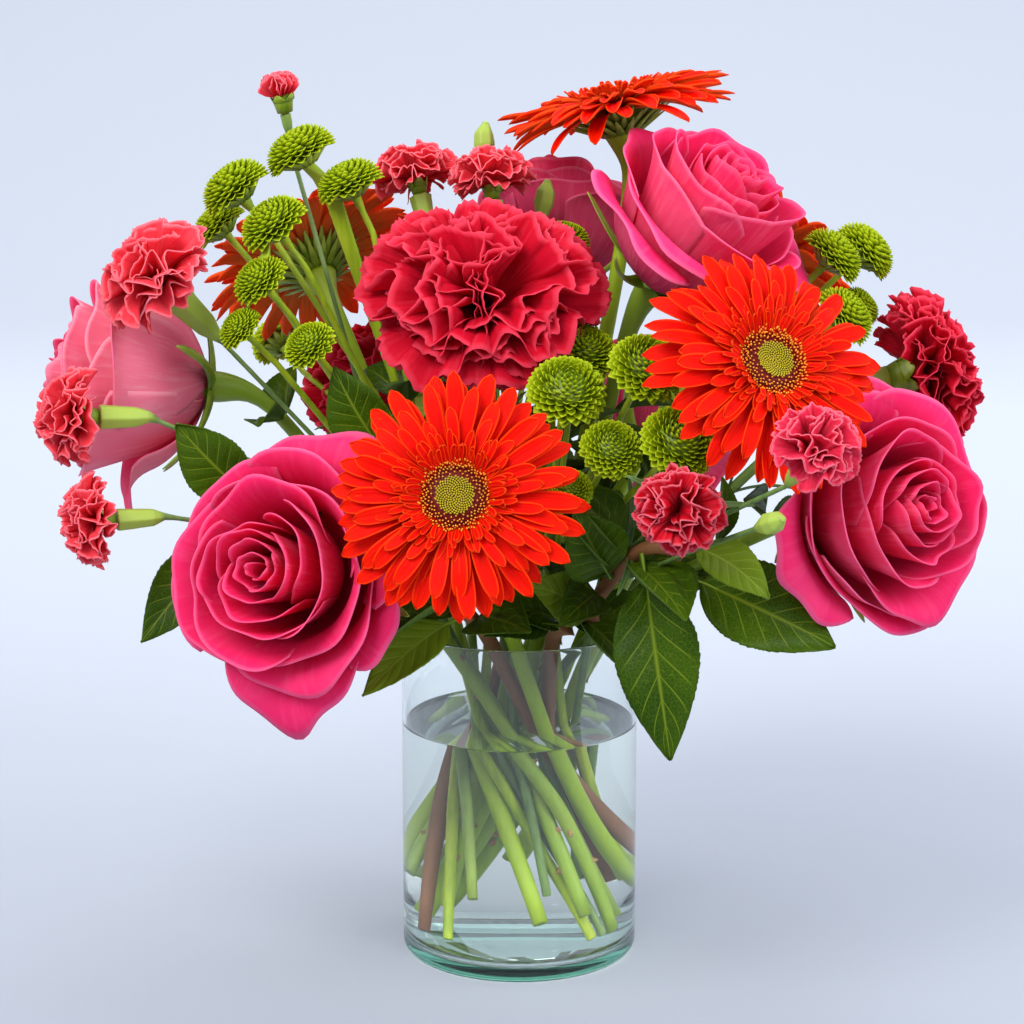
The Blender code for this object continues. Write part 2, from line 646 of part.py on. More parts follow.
def make_vase(where):
    inner = VASE_RADIUS - VASE_WALL
    lip = VASE_WALL / 2
    outline = [(0, VASE_FLOOR), (inner - VASE_FOOT_ROUND, VASE_FLOOR)]
    outline += [arc_point(inner - VASE_FOOT_ROUND, VASE_FLOOR + VASE_FOOT_ROUND, VASE_FOOT_ROUND, a) for a in (-45, 0)]
    outline += [(inner, VASE_HEIGHT - lip), (VASE_RADIUS - lip, VASE_HEIGHT), (VASE_RADIUS, VASE_HEIGHT - lip)]
    outline += [arc_point(VASE_RADIUS - VASE_FOOT_ROUND, VASE_FOOT_ROUND, VASE_FOOT_ROUND, a) for a in (0, -45, -90)]
    outline += [(0, 0)]
    return turned("vase", outline, VASE_SIDES, where, "glass")


def arc_point(x, z, radius, angle):
    a = math.radians(angle)
    return x + radius * math.cos(a), z + radius * math.sin(a)


def make_water(where, cutters):
    """The water fills the vase up to its level, less the stems that stand in it."""
    edge = VASE_RADIUS - VASE_WALL - TOUCH_GAP
    corner = edge - VASE_FOOT_ROUND
    low = VASE_FLOOR + TOUCH_GAP
    outline = [(0, VASE_FLOOR + WATER_DEPTH), (edge, VASE_FLOOR + WATER_DEPTH)]
    outline += [arc_point(corner, low + VASE_FOOT_ROUND, VASE_FOOT_ROUND, a) for a in (0, -45)]
    outline += [(corner, low), (0, low)]
    made = turned("water", outline, VASE_SIDES, where, "water")
    cut = made.modifiers.new("stems", "BOOLEAN")
    cut.operation, cut.operand_type, cut.collection = "DIFFERENCE", "COLLECTION", cutters
    return made


def make_bloom(bloom, where):
    """A bloom's simple outer solid, with a dimple where its stem meets it."""
    outline = [tuple(point) for point in bloom.outline[::-1]] + [(0, DIMPLE)]
    species = "carnation" if bloom.species == "spray_bloom" else bloom.species
    colour = "spray" if bloom.species == "spray_bloom" else bloom.species
    sides = 8 if bloom.species == "spray_bloom" else SIDES[species]
    made = turned(bloom.name, outline, sides, where, colour)
    made.location = Vector(bloom.base)
    made.rotation_mode = "QUATERNION"
    made.rotation_quaternion = Vector(bloom.axis).to_track_quat("Z", "Y")
    return made


def make_leaf(leaf, where):
    """A leaf's blade and stalk as one thin sheet, thickened equally both ways."""
    mesh = bpy.data.meshes.new(leaf.name)
    sheet = bmesh.new()
    bmesh.ops.create_grid(sheet, x_segments=LEAF_ROWS, y_segments=2, size=0.5)
    for vert in sheet.verts:
        vert.co = Vector(leaf.place(vert.co.x + 0.5, 2 * vert.co.y))
    sheet.to_mesh(mesh)
    sheet.free()
    made = add_object(leaf.name, mesh, where, "leaf")
    thicken = made.modifiers.new("thickness", "SOLIDIFY")
    thicken.thickness, thicken.offset = LEAF_THICKNESS, 0
    return made


def rod(name, points, radii, where, colour):
    """A round rod of changing thickness along the points, as a curve object."""
    curve = bpy.data.curves.new(name, "CURVE")
    curve.dimensions = "3D"
    curve.bevel_depth, curve.bevel_resolution, curve.use_fill_caps = UNIT, ROD_RESOLUTION, True
    curve.twist_mode = "MINIMUM"
    spline = curve.splines.new("POLY")
    spline.points.add(len(points) - 1)
    for spot, place, radius in zip(spline.points, points, radii):
        spot.co = (*place, 1)
        spot.radius = radius / UNIT
    return add_object(name, curve, where, colour)


def as_mesh(curve_object, graph):
    """Replaces the curve object by a mesh object with welded caps, which a Boolean can use."""
    mesh = bpy.data.meshes.new_from_object(curve_object.evaluated_get(graph), depsgraph=graph)
    welded = bmesh.new()
    welded.from_mesh(mesh)
    bmesh.ops.remove_doubles(welded, verts=welded.verts, dist=0.00002)
    welded.to_mesh(mesh)
    welded.free()
    name, where = curve_object.name, curve_object.users_collection[0]
    colour = curve_object.data.materials[0].name
    bpy.data.objects.remove(curve_object)
    return add_object(name, mesh, where, colour)


def thinned(points, radii):
    """The numbers of the points that matter: a stem is straight enough between each and the next."""
    kept = [0]
    while kept[-1] < len(points) - 1:
        start = kept[-1]
        stop = start + 1
        while stop + 1 < len(points) and straight(points[start : stop + 2], radii[start : stop + 2]):
            stop += 1
        kept.append(stop)
    return kept


def straight(points, radii):
    share = np.linspace(0, 1, len(points))[:, None]
    chord = points[0] + (points[-1] - points[0]) * share
    taper = radii[0] + (radii[-1] - radii[0]) * share[:, 0]
    off = np.linalg.norm(points - chord, axis=1).max() + np.abs(radii - taper).max()
    return off < STRAIGHTENING


def make_plants(plants, where, helpers):
    """Every stem, and the sprays whose branches and button heads have grown together with it."""
    sprays = []
    for name, stems in plants.items():
        grown = collection(name + "_branches", helpers, hidden=True)
        for number, stem in enumerate(stems):
            kept = thinned(stem.points, stem.radii)
            colour = "wood" if name in SALAL_BRANCHES else "stem"
            made = rod(stem.name, stem.points[kept], stem.radii[kept], grown if number else where, colour)
            if number == 0 and len(stems) > 1:
                sprays.append((made, grown))
            if number and name in POM_SPRAYS:
                make_bloom(stem.bloom, grown)
    bpy.context.view_layer.update()
    graph = bpy.context.evaluated_depsgraph_get()
    joins = []
    for main_stem, grown in sprays:
        for branch in [piece for piece in grown.objects if piece.type == "CURVE"]:
            as_mesh(branch, graph)
        hide_cutters(grown)
        joins.append((as_mesh(main_stem, graph), grown))
    for main_stem, grown in joins:
        join = main_stem.modifiers.new("branches", "BOOLEAN")
        join.operation, join.operand_type, join.collection = "UNION", "COLLECTION", grown


def hide_cutters(group):
    for piece in group.objects:
        piece.hide_render = True
        piece.display_type = "WIRE"


def make_cutters(plants, helpers):
    """Rods a little thicker than the stems under water, which the water is cut by."""
    cutters = collection("stems_in_water", helpers, hidden=True)
    level = VASE_FLOOR + WATER_DEPTH
    for name, stems in plants.items():
        points, radii = stems[0].points, stems[0].radii
        kept = thinned(points, radii)
        wet = [k for before, k in zip([0, *kept], kept) if points[before][2] < level + STEP]
        spots = points[wet]
        spots[0] += unit(spots[0] - spots[1]) * TOUCH_GAP
        rod(name + "_cutter", spots, radii[wet] + TOUCH_GAP, cutters, "water")
    bpy.context.view_layer.update()
    graph = bpy.context.evaluated_depsgraph_get()
    for cutter in list(cutters.objects):
        as_mesh(cutter, graph)
    hide_cutters(cutters)
    return cutters


def set_out_blooms():
    """Every bloom at the place and facing that the lists give it."""
    blooms = []
    for name, (species, centre, faces, size) in BLOOMS.items():
        blooms.append(Bloom(name, species, centre, facing(*faces), size))
    for spray, heads in POM_SPRAYS.items():
        for number, (centre, size) in enumerate(heads):
            axis = unit(np.array(centre) * (1, 1, 0.55) + (0, 0, 0.05))
            blooms.append(Bloom(f"{spray}_{number}", "pom", centre, axis, size))
    return blooms


def main():
    for old in list(bpy.data.objects):
        bpy.data.objects.remove(old)
    where = collection("flowers_in_vase")
    helpers = collection("helpers", hidden=True)
    blooms = set_out_blooms()
    leaves = [Leaf(name, *facts) for name, facts in LEAVES.items()]
    settle_bodies(blooms, leaves)
    plants = stems_for(blooms, leaves)
    settle_stems(plants, blooms, leaves)
    make_vase(where)
    make_water(where, make_cutters(plants, helpers))
    for bloom in blooms:
        if bloom.species != "pom":
            make_bloom(bloom, where)
    for leaf in leaves:
        make_leaf(leaf, where)
    make_plants(plants, where, helpers)


main()
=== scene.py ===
"""Looks of the bouquet: petals, leaves, stems, glass and water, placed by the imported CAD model."""

import math

import bmesh
import bpy
import numpy as np
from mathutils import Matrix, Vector
from mathutils.bvhtree import BVHTree


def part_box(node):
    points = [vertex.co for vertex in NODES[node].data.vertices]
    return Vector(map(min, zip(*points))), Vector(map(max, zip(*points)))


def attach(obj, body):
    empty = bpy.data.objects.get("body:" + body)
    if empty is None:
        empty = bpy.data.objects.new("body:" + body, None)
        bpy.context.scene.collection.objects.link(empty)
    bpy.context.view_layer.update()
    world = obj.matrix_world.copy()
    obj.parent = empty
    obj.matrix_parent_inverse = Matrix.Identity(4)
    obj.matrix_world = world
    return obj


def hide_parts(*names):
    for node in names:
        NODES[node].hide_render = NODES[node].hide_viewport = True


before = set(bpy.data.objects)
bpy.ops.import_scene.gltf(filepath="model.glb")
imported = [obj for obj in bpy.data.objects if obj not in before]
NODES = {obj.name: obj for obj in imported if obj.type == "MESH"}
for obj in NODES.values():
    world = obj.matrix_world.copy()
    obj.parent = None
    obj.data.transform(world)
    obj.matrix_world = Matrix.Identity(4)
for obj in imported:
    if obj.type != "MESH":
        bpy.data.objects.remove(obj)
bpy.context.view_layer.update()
GOLDEN = math.pi * (3 - math.sqrt(5))
MILLI = 0.001


# ---- materials --------------------------------------------------------------------------------------


class Surface:
    """A node material under construction. Colours are linear; tone is the mesh's own colour attribute."""

    def __init__(self, name):
        self.material = bpy.data.materials.new(name)
        self.material.use_nodes = True
        self.tree = self.material.node_tree
        self.tree.nodes.clear()
        self.output = self.tree.nodes.new("ShaderNodeOutputMaterial")

    def node(self, kind, values=(), **settings):
        """A new node. values maps input names or numbers to numbers, colours or other nodes' sockets."""
        made = self.tree.nodes.new("ShaderNode" + kind)
        for key, value in settings.items():
            setattr(made, key, value)
        for key, value in dict(values).items():
            if isinstance(value, bpy.types.NodeSocket):
                self.tree.links.new(value, made.inputs[key])
            else:
                made.inputs[key].default_value = value
        return made

    def where(self):
        return self.node("TexCoord").outputs["Object"]

    def tone(self):
        """Along the petal, across it, the petal's own chance, and its place from outer to inner."""
        attribute = self.node("Attribute", attribute_name="tone")
        parts = self.node("SeparateColor", {0: attribute.outputs["Color"]})
        return (*parts.outputs, attribute.outputs["Alpha"])

    def math(self, operation, *values):
        return self.node("Math", dict(enumerate(values)), operation=operation).outputs[0]

    def times(self, value, by):
        return self.math("MULTIPLY", value, by)

    def apart(self, value, middle):
        """How far value is from middle, either way."""
        return self.math("ABSOLUTE", self.math("SUBTRACT", value, middle))

    def ramp(self, factor, *stops):
        made = self.node("ValToRGB", {0: factor})
        band = made.color_ramp
        while len(band.elements) < len(stops):
            band.elements.new(0.5)
        for element, (place, colour) in zip(band.elements, stops):
            element.position = place
            element.color = (*colour, 1)
        return made.outputs["Color"]

    def mask(self, factor, low, high):
        """0 below low and 1 above high."""
        return self.node("MapRange", {0: factor, 1: low, 2: high, 3: 0.0, 4: 1.0}, clamp=True).outputs[0]

    def line(self, distance, width):
        """1 where distance is 0, down to 0 from width on."""
        return self.math("SUBTRACT", 1.0, self.mask(distance, 0.0, width))

    def mix(self, factor, first, second):
        made = self.node("Mix", data_type="RGBA")
        for number, value in ((0, factor), (6, first), (7, second)):
            if isinstance(value, bpy.types.NodeSocket):
                self.tree.links.new(value, made.inputs[number])
            else:
                made.inputs[number].default_value = (*value, 1)
        return made.outputs[2]

    def tint(self, base, colour, share, factor):
        """base turned towards colour, by share where factor is 1."""
        return self.mix(self.times(factor, share), base, colour)

    def noise(self, scale, vector=None, detail=3.0, rough=0.5):
        spot = self.where() if vector is None else vector
        values = {"Scale": scale, "Detail": detail, "Roughness": rough, "Vector": spot}
        return self.node("TexNoise", values).outputs["Fac"]

    def vector(self, x, y, z):
        return self.node("CombineXYZ", {0: x, 1: y, 2: z}).outputs[0]

    def fibres(self, along, across, chance, stretch, count, detail=3.0, rough=0.5):
        """Noise in fine lines along a petal. stretch and count are its changes along and across."""
        fan = self.vector(self.times(along, stretch), self.times(across, count), chance)
        return self.noise(1.0, fan, detail, rough)

    def bump(self, height, distance, strength, under=None):
        """A normal bent by height, on top of the normal under."""
        values = {"Height": height, "Distance": distance, "Strength": strength}
        if under is not None:
            values["Normal"] = under
        return self.node("Bump", values).outputs[0]

    def finish(self, colour, normal=None, thin=0.0, **values):
        """Principled, and a share thin of light that comes through from behind."""
        named = {key.replace("_", " "): value for key, value in values.items()}
        shader = self.node("BsdfPrincipled", {"Base Color": colour, **named})
        if normal is not None:
            self.tree.links.new(normal, shader.inputs["Normal"])
        result = shader.outputs[0]
        if thin:
            through = self.node("BsdfTranslucent", {"Color": colour})
            result = self.node("MixShader", {0: thin, 1: result, 2: through.outputs[0]}).outputs[0]
        self.tree.links.new(result, self.output.inputs["Surface"])
        return self.material


def gerbera_ray():
    """Scarlet ray petals: two dark lengthwise lines of painted shade where the grooves are, orange edges, and
    redder where they are short.
    """
    s = Surface("gerbera_ray")
    along, across, chance, inner = s.tone()
    base = s.ramp(
        along,
        (0.0, (0.50, 0.001, 0.001)),
        (0.35, (0.80, 0.002, 0.001)),
        (0.8, (0.90, 0.004, 0.001)),
        (1.0, (0.94, 0.016, 0.001)),
    )
    streaks = s.fibres(along, across, chance, 3.0, 26.0)
    base = s.tint(base, (0.62, 0.002, 0.001), 0.45, s.mask(streaks, 0.50, 0.75))
    base = s.tint(base, (0.95, 0.018, 0.001), 0.30, chance)
    side = s.apart(across, 0.5)
    # Painted shade: two dark lines along each ray, a little off its middle, that stand for the shade in its
    # grooves.
    base = s.tint(base, (0.45, 0.002, 0.001), 0.45, s.line(s.apart(side, 0.17), 0.05))
    base = s.tint(base, (0.70, 0.003, 0.001), 0.55, s.mask(inner, 0.5, 0.8))
    base = s.tint(base, (1.0, 0.065, 0.003), 0.75, s.mask(side, 0.42, 0.5))
    return s.finish(base, s.bump(streaks, 0.0004, 0.5), 0.30, Roughness=0.45, Specular_IOR_Level=0.06)


def gerbera_under():
    """The undersides of the rays: paler orange with fine veins."""
    s = Surface("gerbera_underside")
    along, across, chance, _ = s.tone()
    base = s.ramp(along, (0.0, (0.72, 0.22, 0.04)), (0.5, (0.95, 0.19, 0.02)), (1.0, (0.95, 0.09, 0.006)))
    streaks = s.fibres(along, across, chance, 2.0, 30.0)
    base = s.tint(base, (0.62, 0.06, 0.02), 0.4, s.mask(streaks, 0.45, 0.7))
    return s.finish(base, s.bump(streaks, 0.0004, 0.6), 0.30, Roughness=0.55, Specular_IOR_Level=0.16)


def gerbera_eye():
    """The disc: dark florets with golden tips round a yellow-green centre. inner tells the two apart."""
    s = Surface("gerbera_eye")
    along, _, chance, inner = s.tone()
    ring = s.ramp(
        along,
        (0.0, (0.14, 0.003, 0.001)),
        (0.60, (0.42, 0.010, 0.002)),
        (0.82, (0.86, 0.26, 0.015)),
        (1.0, (0.95, 0.55, 0.06)),
    )
    heart = s.ramp(along, (0.0, (0.11, 0.10, 0.003)), (0.6, (0.36, 0.30, 0.006)), (1.0, (0.66, 0.55, 0.03)))
    heart = s.tint(heart, (0.30, 0.30, 0.008), 0.5, chance)
    return s.finish(s.mix(inner, ring, heart), None, 0.15, Roughness=0.55, Specular_IOR_Level=0.2)


def rose_petal(name, deep, body, lip, veins, core_shade, share):
    """Velvety rose petals with veins and a thin pale lip that is partly their own colour and partly painted
    sheen. Painted shade deepens the colour towards each petal's base, and the inner ones turn by share
    towards the core colour, the painted shade of the rose's heart.
    """
    s = Surface(name)
    along, across, chance, inner = s.tone()
    # Painted shade: the colour deepens over each petal's lower half, deep in the bloom; the thin pale lip at
    # its tip is partly painted sheen.
    base = s.ramp(along, (0.0, deep), (0.50, deep), (0.78, body), (0.965, body), (1.0, lip))
    # Painted shade: the inner petals turn towards the deeper core colour.
    base = s.tint(base, core_shade, share, s.mask(inner, 0.0, 0.5))
    fine = s.fibres(along, across, s.times(chance, 9.0), 2.5, 24.0, 4.0, 0.6)
    base = s.tint(base, lip, veins, s.mask(fine, 0.50, 0.72))
    base = s.tint(base, lip, 0.22, s.mask(s.noise(38.0), 0.45, 0.75))
    # A thin pale band along the petal's side edges, partly painted sheen.
    base = s.tint(base, lip, 0.5, s.mask(s.apart(across, 0.5), 0.47, 0.5))
    normal = s.bump(s.noise(1400.0), 0.0002, 0.35, s.bump(fine, 0.0008, 0.55))
    return s.finish(base, normal, 0.36, Roughness=0.6, Specular_IOR_Level=0.08)


def ruffled_petal(name, deep, body, lip, lip_at=0.93):
    """Carnation petals: rich at the heart, with a paler serrated edge."""
    s = Surface(name)
    along, across, chance, _ = s.tone()
    base = s.ramp(along, (0.0, deep), (0.5, deep), (0.78, body), (lip_at, body), (1.0, lip))
    fine = s.fibres(along, across, s.times(chance, 9.0), 2.0, 30.0, 4.0, 0.6)
    base = s.tint(base, lip, 0.35, s.mask(fine, 0.48, 0.72))
    base = s.tint(base, deep, 0.25, chance)
    return s.finish(base, s.bump(fine, 0.0004, 0.4), 0.34, Roughness=0.55, Specular_IOR_Level=0.08)


def button_floret():
    """Lime-green florets: painted shade where they are packed, bright at their tips."""
    s = Surface("button_floret")
    along, _, chance, inner = s.tone()
    # Painted shade: each floret darkens from its tip down to its packed base.
    base = s.ramp(
        along,
        (0.0, (0.030, 0.045, 0.001)),
        (0.4, (0.13, 0.19, 0.001)),
        (0.75, (0.32, 0.43, 0.003)),
        (1.0, (0.54, 0.66, 0.020)),
    )
    base = s.tint(base, (0.22, 0.30, 0.002), 0.55, inner)
    base = s.tint(base, (0.42, 0.50, 0.008), 0.25, chance)
    return s.finish(base, None, 0.22, Roughness=0.5, Specular_IOR_Level=0.08)


def leaf_side(name, dark, light, vein, gloss):
    """Leathery salal: a pale midrib, side veins that curve to the tip, and a net between them."""
    s = Surface(name)
    along, across, chance, _ = s.tone()
    side = s.apart(s.times(across, 2.0), 1.0)
    swept = s.math("SUBTRACT", s.times(along, 7.0), s.times(s.math("POWER", side, 0.8), 1.9))
    branch = s.line(s.apart(s.math("FRACT", swept), 0.5), 0.06)
    branch = s.times(branch, s.math("SUBTRACT", 1.0, s.mask(side, 0.6, 0.95)))
    spot = s.vector(s.times(along, 2.4), across, chance)
    cells = s.node("TexVoronoi", {"Vector": spot, "Scale": 19.0}, feature="DISTANCE_TO_EDGE")
    net = s.times(s.line(cells.outputs["Distance"], 0.06), 0.45)
    veins = s.math("MAXIMUM", s.line(side, 0.07), s.math("MAXIMUM", branch, net))
    base = s.mix(s.mask(s.noise(30.0), 0.35, 0.7), dark, light)
    base = s.tint(base, light, 0.5, chance)
    base = s.tint(base, vein, 0.62, veins)
    normal = s.bump(veins, 0.0005, -0.5, s.bump(s.noise(900.0), 0.0002, 0.3))
    return s.finish(base, normal, 0.14, Roughness=gloss, Specular_IOR_Level=0.10)


def stem_skin(name, light, dark, fleck, swollen, gloss=0.42):
    """Stems with lengthwise streaks and small flecks, which turn to another colour where they swell."""
    s = Surface(name)
    girth = s.tone()[0]
    drawn_out = s.node("Mapping", {"Vector": s.where(), "Scale": (1.0, 1.0, 0.05)}).outputs[0]
    streaks = s.noise(260.0, drawn_out)
    base = s.mix(s.mask(streaks, 0.35, 0.7), light, dark)
    base = s.tint(base, fleck, 0.7, s.mask(s.noise(28.0), 0.54, 0.70))
    base = s.tint(base, swollen, 0.85, s.mask(girth, 0.36, 0.62))
    return s.finish(base, s.bump(streaks, 0.0004, 0.6), Roughness=gloss, Specular_IOR_Level=0.3)


def clear(name, tint, ior, absorb, density):
    """A clear solid that tints the light which travels far through it."""
    s = Surface(name)
    s.finish((*tint, 1), Roughness=0.0, IOR=ior, Transmission_Weight=1.0)
    inside = s.node("VolumeAbsorption", {"Color": (*absorb, 1), "Density": density})
    s.tree.links.new(inside.outputs[0], s.output.inputs["Volume"])
    return s.material


# Stem materials and their colours: in the light, streaked, flecked, and where the stem swells.
STEM_COLOURS = {
    "bright_stem": ((0.33, 0.44, 0.012), (0.17, 0.28, 0.008), (0.50, 0.55, 0.06), (0.28, 0.42, 0.015)),
    "pale_stem": ((0.42, 0.47, 0.070), (0.26, 0.34, 0.030), (0.30, 0.13, 0.03), (0.20, 0.34, 0.020)),
    "blue_stem": ((0.14, 0.24, 0.06), (0.08, 0.15, 0.035), (0.24, 0.34, 0.11), (0.34, 0.46, 0.060)),
    "calyx_skin": ((0.19, 0.29, 0.012), (0.10, 0.18, 0.008), (0.34, 0.42, 0.04), (0.34, 0.46, 0.060)),
    "blade_skin": ((0.10, 0.18, 0.05), (0.05, 0.11, 0.03), (0.17, 0.27, 0.10), (0.10, 0.18, 0.05)),
    "thorn": ((0.34, 0.20, 0.06), (0.22, 0.10, 0.03), (0.30, 0.26, 0.06), (0.26, 0.12, 0.04)),
}
BARK_COLOURS = (0.24, 0.095, 0.035), (0.11, 0.040, 0.014), (0.33, 0.20, 0.09), (0.20, 0.085, 0.030)

# Every look's materials: the skin's own, and the underside's where it has one.
MATERIALS = {
    "gerbera": [gerbera_ray(), gerbera_under()],
    "gerbera_eye": [gerbera_eye()],
    # A rose's colours: deep, painted shade at the petals' bases; body; lip, a pale rim that is partly its own
    # colour and partly painted sheen; the veins' share; the inner petals' painted shade, and its share.
    "rose": [
        rose_petal(
            "rose_petal", (0.88, 0.008, 0.095), (0.95, 0.032, 0.185), (0.98, 0.17, 0.38), 0.22,
            (0.93, 0.008, 0.105), 0.45,
        ),
        rose_petal(
            "rose_underside", (0.76, 0.045, 0.16), (0.84, 0.085, 0.23), (0.95, 0.26, 0.40), 0.38,
            (0.84, 0.016, 0.115), 0.75,
        ),
    ],
    "pale_rose": [
        rose_petal(
            "pale_rose_petal", (0.86, 0.020, 0.110), (0.94, 0.060, 0.200), (0.98, 0.22, 0.40), 0.26,
            (0.90, 0.020, 0.120), 0.45,
        ),
        rose_petal(
            "pale_rose_underside", (0.95, 0.190, 0.32), (0.98, 0.290, 0.43), (1.0, 0.56, 0.66), 0.50,
            (0.92, 0.060, 0.180), 0.60,
        ),
    ],
    "carnation": [
        ruffled_petal("carnation_petal", (0.50, 0.002, 0.013), (0.68, 0.006, 0.030), (0.90, 0.070, 0.13)),
    ],
    "coral": [
        ruffled_petal("coral_petal", (0.78, 0.012, 0.030), (0.90, 0.060, 0.09), (0.97, 0.24, 0.29)),
    ],
    "crimson": [
        ruffled_petal("crimson_petal", (0.44, 0.002, 0.010), (0.70, 0.005, 0.022), (0.88, 0.19, 0.25)),
    ],
    "rosy": [
        ruffled_petal("rosy_petal", (0.60, 0.006, 0.035), (0.82, 0.030, 0.09), (0.93, 0.20, 0.28)),
    ],
    "button": [button_floret()],
    "leaf": [
        leaf_side("leaf_face", (0.016, 0.050, 0.001), (0.050, 0.105, 0.002), (0.24, 0.32, 0.020), 0.38),
        leaf_side("leaf_underside", (0.070, 0.135, 0.020), (0.110, 0.180, 0.030), (0.22, 0.31, 0.08), 0.55),
    ],
    "young_leaf": [
        leaf_side("young_leaf_face", (0.100, 0.170, 0.006), (0.150, 0.230, 0.010), (0.32, 0.40, 0.06), 0.40),
        leaf_side("young_leaf_underside", (0.13, 0.21, 0.03), (0.17, 0.27, 0.04), (0.29, 0.40, 0.11), 0.55),
    ],
    "bark": [stem_skin("bark", *BARK_COLOURS, gloss=0.6)],
    "glass": [clear("glass", (0.99, 1.0, 0.995), 1.5, (0.25, 0.88, 0.66), 20.0)],
    "water": [clear("water", (1.0, 1.0, 1.0), 1.33, (0.92, 1.0, 0.74), 1.8)],
    **{name.removesuffix("_skin"): [stem_skin(name, *tones)] for name, tones in STEM_COLOURS.items()},
}


# ---- meshes -----------------------------------------------------------------------------------------


class Shape:
    """Grids of points gathered into one mesh, each point with its own tone."""

    def __init__(self):
        self.points, self.faces, self.tones, self.count = [], [], [], 0

    def grid(self, points, tone, closed=False):
        """points is rows x columns x 3. tone is four values that spread over the grid."""
        rows, columns = points.shape[:2]
        index = self.count + np.arange(rows * columns).reshape(rows, columns)
        if closed:
            index = np.concatenate([index, index[:, :1]], axis=1)
        quads = np.stack([index[:-1, :-1], index[:-1, 1:], index[1:, 1:], index[1:, :-1]], axis=-1)
        self.points.append(points.reshape(-1, 3))
        self.faces.append(quads.reshape(-1, 4))
        spread = [np.broadcast_to(np.asarray(value, float), (rows, columns)).reshape(-1) for value in tone]
        self.tones.append(np.stack(spread, axis=-1))
        self.count += rows * columns

    def piece(self, name, look, node=None, slot=None, thickness=0.0):
        """The gathered mesh as an object that rides on the bouquet."""
        points, faces = np.concatenate(self.points), np.concatenate(self.faces)
        mesh = bpy.data.meshes.new(name)
        mesh.vertices.add(len(points))
        mesh.vertices.foreach_set("co", points.astype(np.float32).ravel())
        mesh.loops.add(faces.size)
        mesh.loops.foreach_set("vertex_index", faces.astype(np.int32).ravel())
        mesh.polygons.add(len(faces))
        mesh.polygons.foreach_set("loop_start", np.arange(0, faces.size, 4, dtype=np.int32))
        mesh.update(calc_edges=True)
        mesh.validate()
        tone = mesh.color_attributes.new("tone", "FLOAT_COLOR", "POINT")
        tone.data.foreach_set("color", np.concatenate(self.tones).astype(np.float32).ravel())
        mesh.shade_smooth()
        made = placed(name, mesh, look, node)
        if thickness:
            thicken = made.modifiers.new("thickness", "SOLIDIFY")
            thicken.thickness, thicken.offset = thickness, -1
            thicken.material_offset = len(MATERIALS[look]) - 1
            thicken.material_offset_rim = 0
        return made


def placed(name, mesh, look, node=None):
    """An object of the mesh that rides on the bouquet, in place of the CAD node if one is named."""
    made = bpy.data.objects.new(name, mesh)
    bpy.context.scene.collection.objects.link(made)
    mesh.materials.clear()
    for material in MATERIALS[look]:
        mesh.materials.append(material)
    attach(made, "root")
    if node:
        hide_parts(node)
    return made


def unit(vector):
    return vector / np.linalg.norm(vector)


def welded(node):
    """A copy of a CAD node's mesh with the corners of its faces joined, as a bmesh."""
    solid = bmesh.new()
    solid.from_mesh(NODES[node].data)
    bmesh.ops.remove_doubles(solid, verts=solid.verts, dist=0.02 * MILLI)
    return solid


class Bloom:
    """Where a flower sits: its base, the way it faces, its radius and its depth."""

    def __init__(self, base, axis, radius, depth, chance):
        self.base, self.axis, self.radius, self.depth = base, axis, radius, depth
        up = np.array((0.0, 0.0, 1.0)) if abs(axis[2]) < 0.93 else np.array((0.0, -1.0, 0.0))
        self.side = unit(np.cross(up, axis))
        self.up = np.cross(axis, self.side)
        self.random = np.random.default_rng(chance)

    def place(self, across, up, out):
        """Points across, up the face, and out along the axis, from the base."""
        return (
            self.base
            + across[..., None] * self.side
            + up[..., None] * self.up
            + out[..., None] * self.axis
        )

    def around(self, angle, radial, tangent, out):
        """Points at a distance radial from the axis at the angle, moved sideways by tangent."""
        c, s = np.cos(angle), np.sin(angle)
        return self.place(radial * c - tangent * s, radial * s + tangent * c, radial * 0 + out)

    def any(self, low, high):
        return self.random.uniform(low, high)


def bloom_of(node, chance):
    """Reads a bloom's place from its CAD solid, whose two poles have more neighbours than any other point."""
    solid = welded(node)
    poles = sorted(solid.verts, key=lambda vert: len(vert.link_edges))[-2:]
    ends = []
    for pole in poles:
        ring = [edge.other_vert(pole).co for edge in pole.link_edges]
        ends.append((max((spot - pole.co).length for spot in ring), np.array(pole.co)))
    ends.sort(key=lambda end: end[0])
    base, crown = ends[0][1], ends[1][1]
    axis = unit(crown - base)
    points = np.array([vert.co for vert in solid.verts]) - base
    out = points @ axis
    radial = np.linalg.norm(points - np.outer(out, axis), axis=1)
    solid.free()
    return Bloom(base + axis * out.min(), axis, radial.max(), out.max() - out.min(), chance)


# A button head in the CAD model: its depth for its radius, and how wide the ring round its crown is.
HEAD_DEPTH = 17 / 15.5
HEAD_RING = 0.80
HEAD_SIDES = 8


def heads_of(node):
    """The button heads in a spray's CAD solid: each crown is a point ringed evenly by others."""
    solid = welded(node)
    found = []
    for vert in solid.verts:
        ring = np.array([edge.other_vert(vert).co for edge in vert.link_edges])
        if len(ring) != HEAD_SIDES:
            continue
        crown, middle = np.array(vert.co), ring.mean(axis=0)
        far = np.linalg.norm(ring - middle, axis=1)
        if far.std() < 0.03 * far.mean() and far.mean() > 5 * MILLI:
            radius = far.mean() / HEAD_RING
            depth = radius * HEAD_DEPTH
            axis = unit(crown - middle)
            found.append(Bloom(crown - axis * depth, axis, radius, depth, len(found)))
    solid.free()
    return found


def eased(value, low, high):
    """0 below low and 1 above high, with a smooth rise between them."""
    t = np.clip((value - low) / (high - low), 0, 1)
    return t * t * (3 - 2 * t)


# ---- flowers ----------------------------------------------------------------------------------------

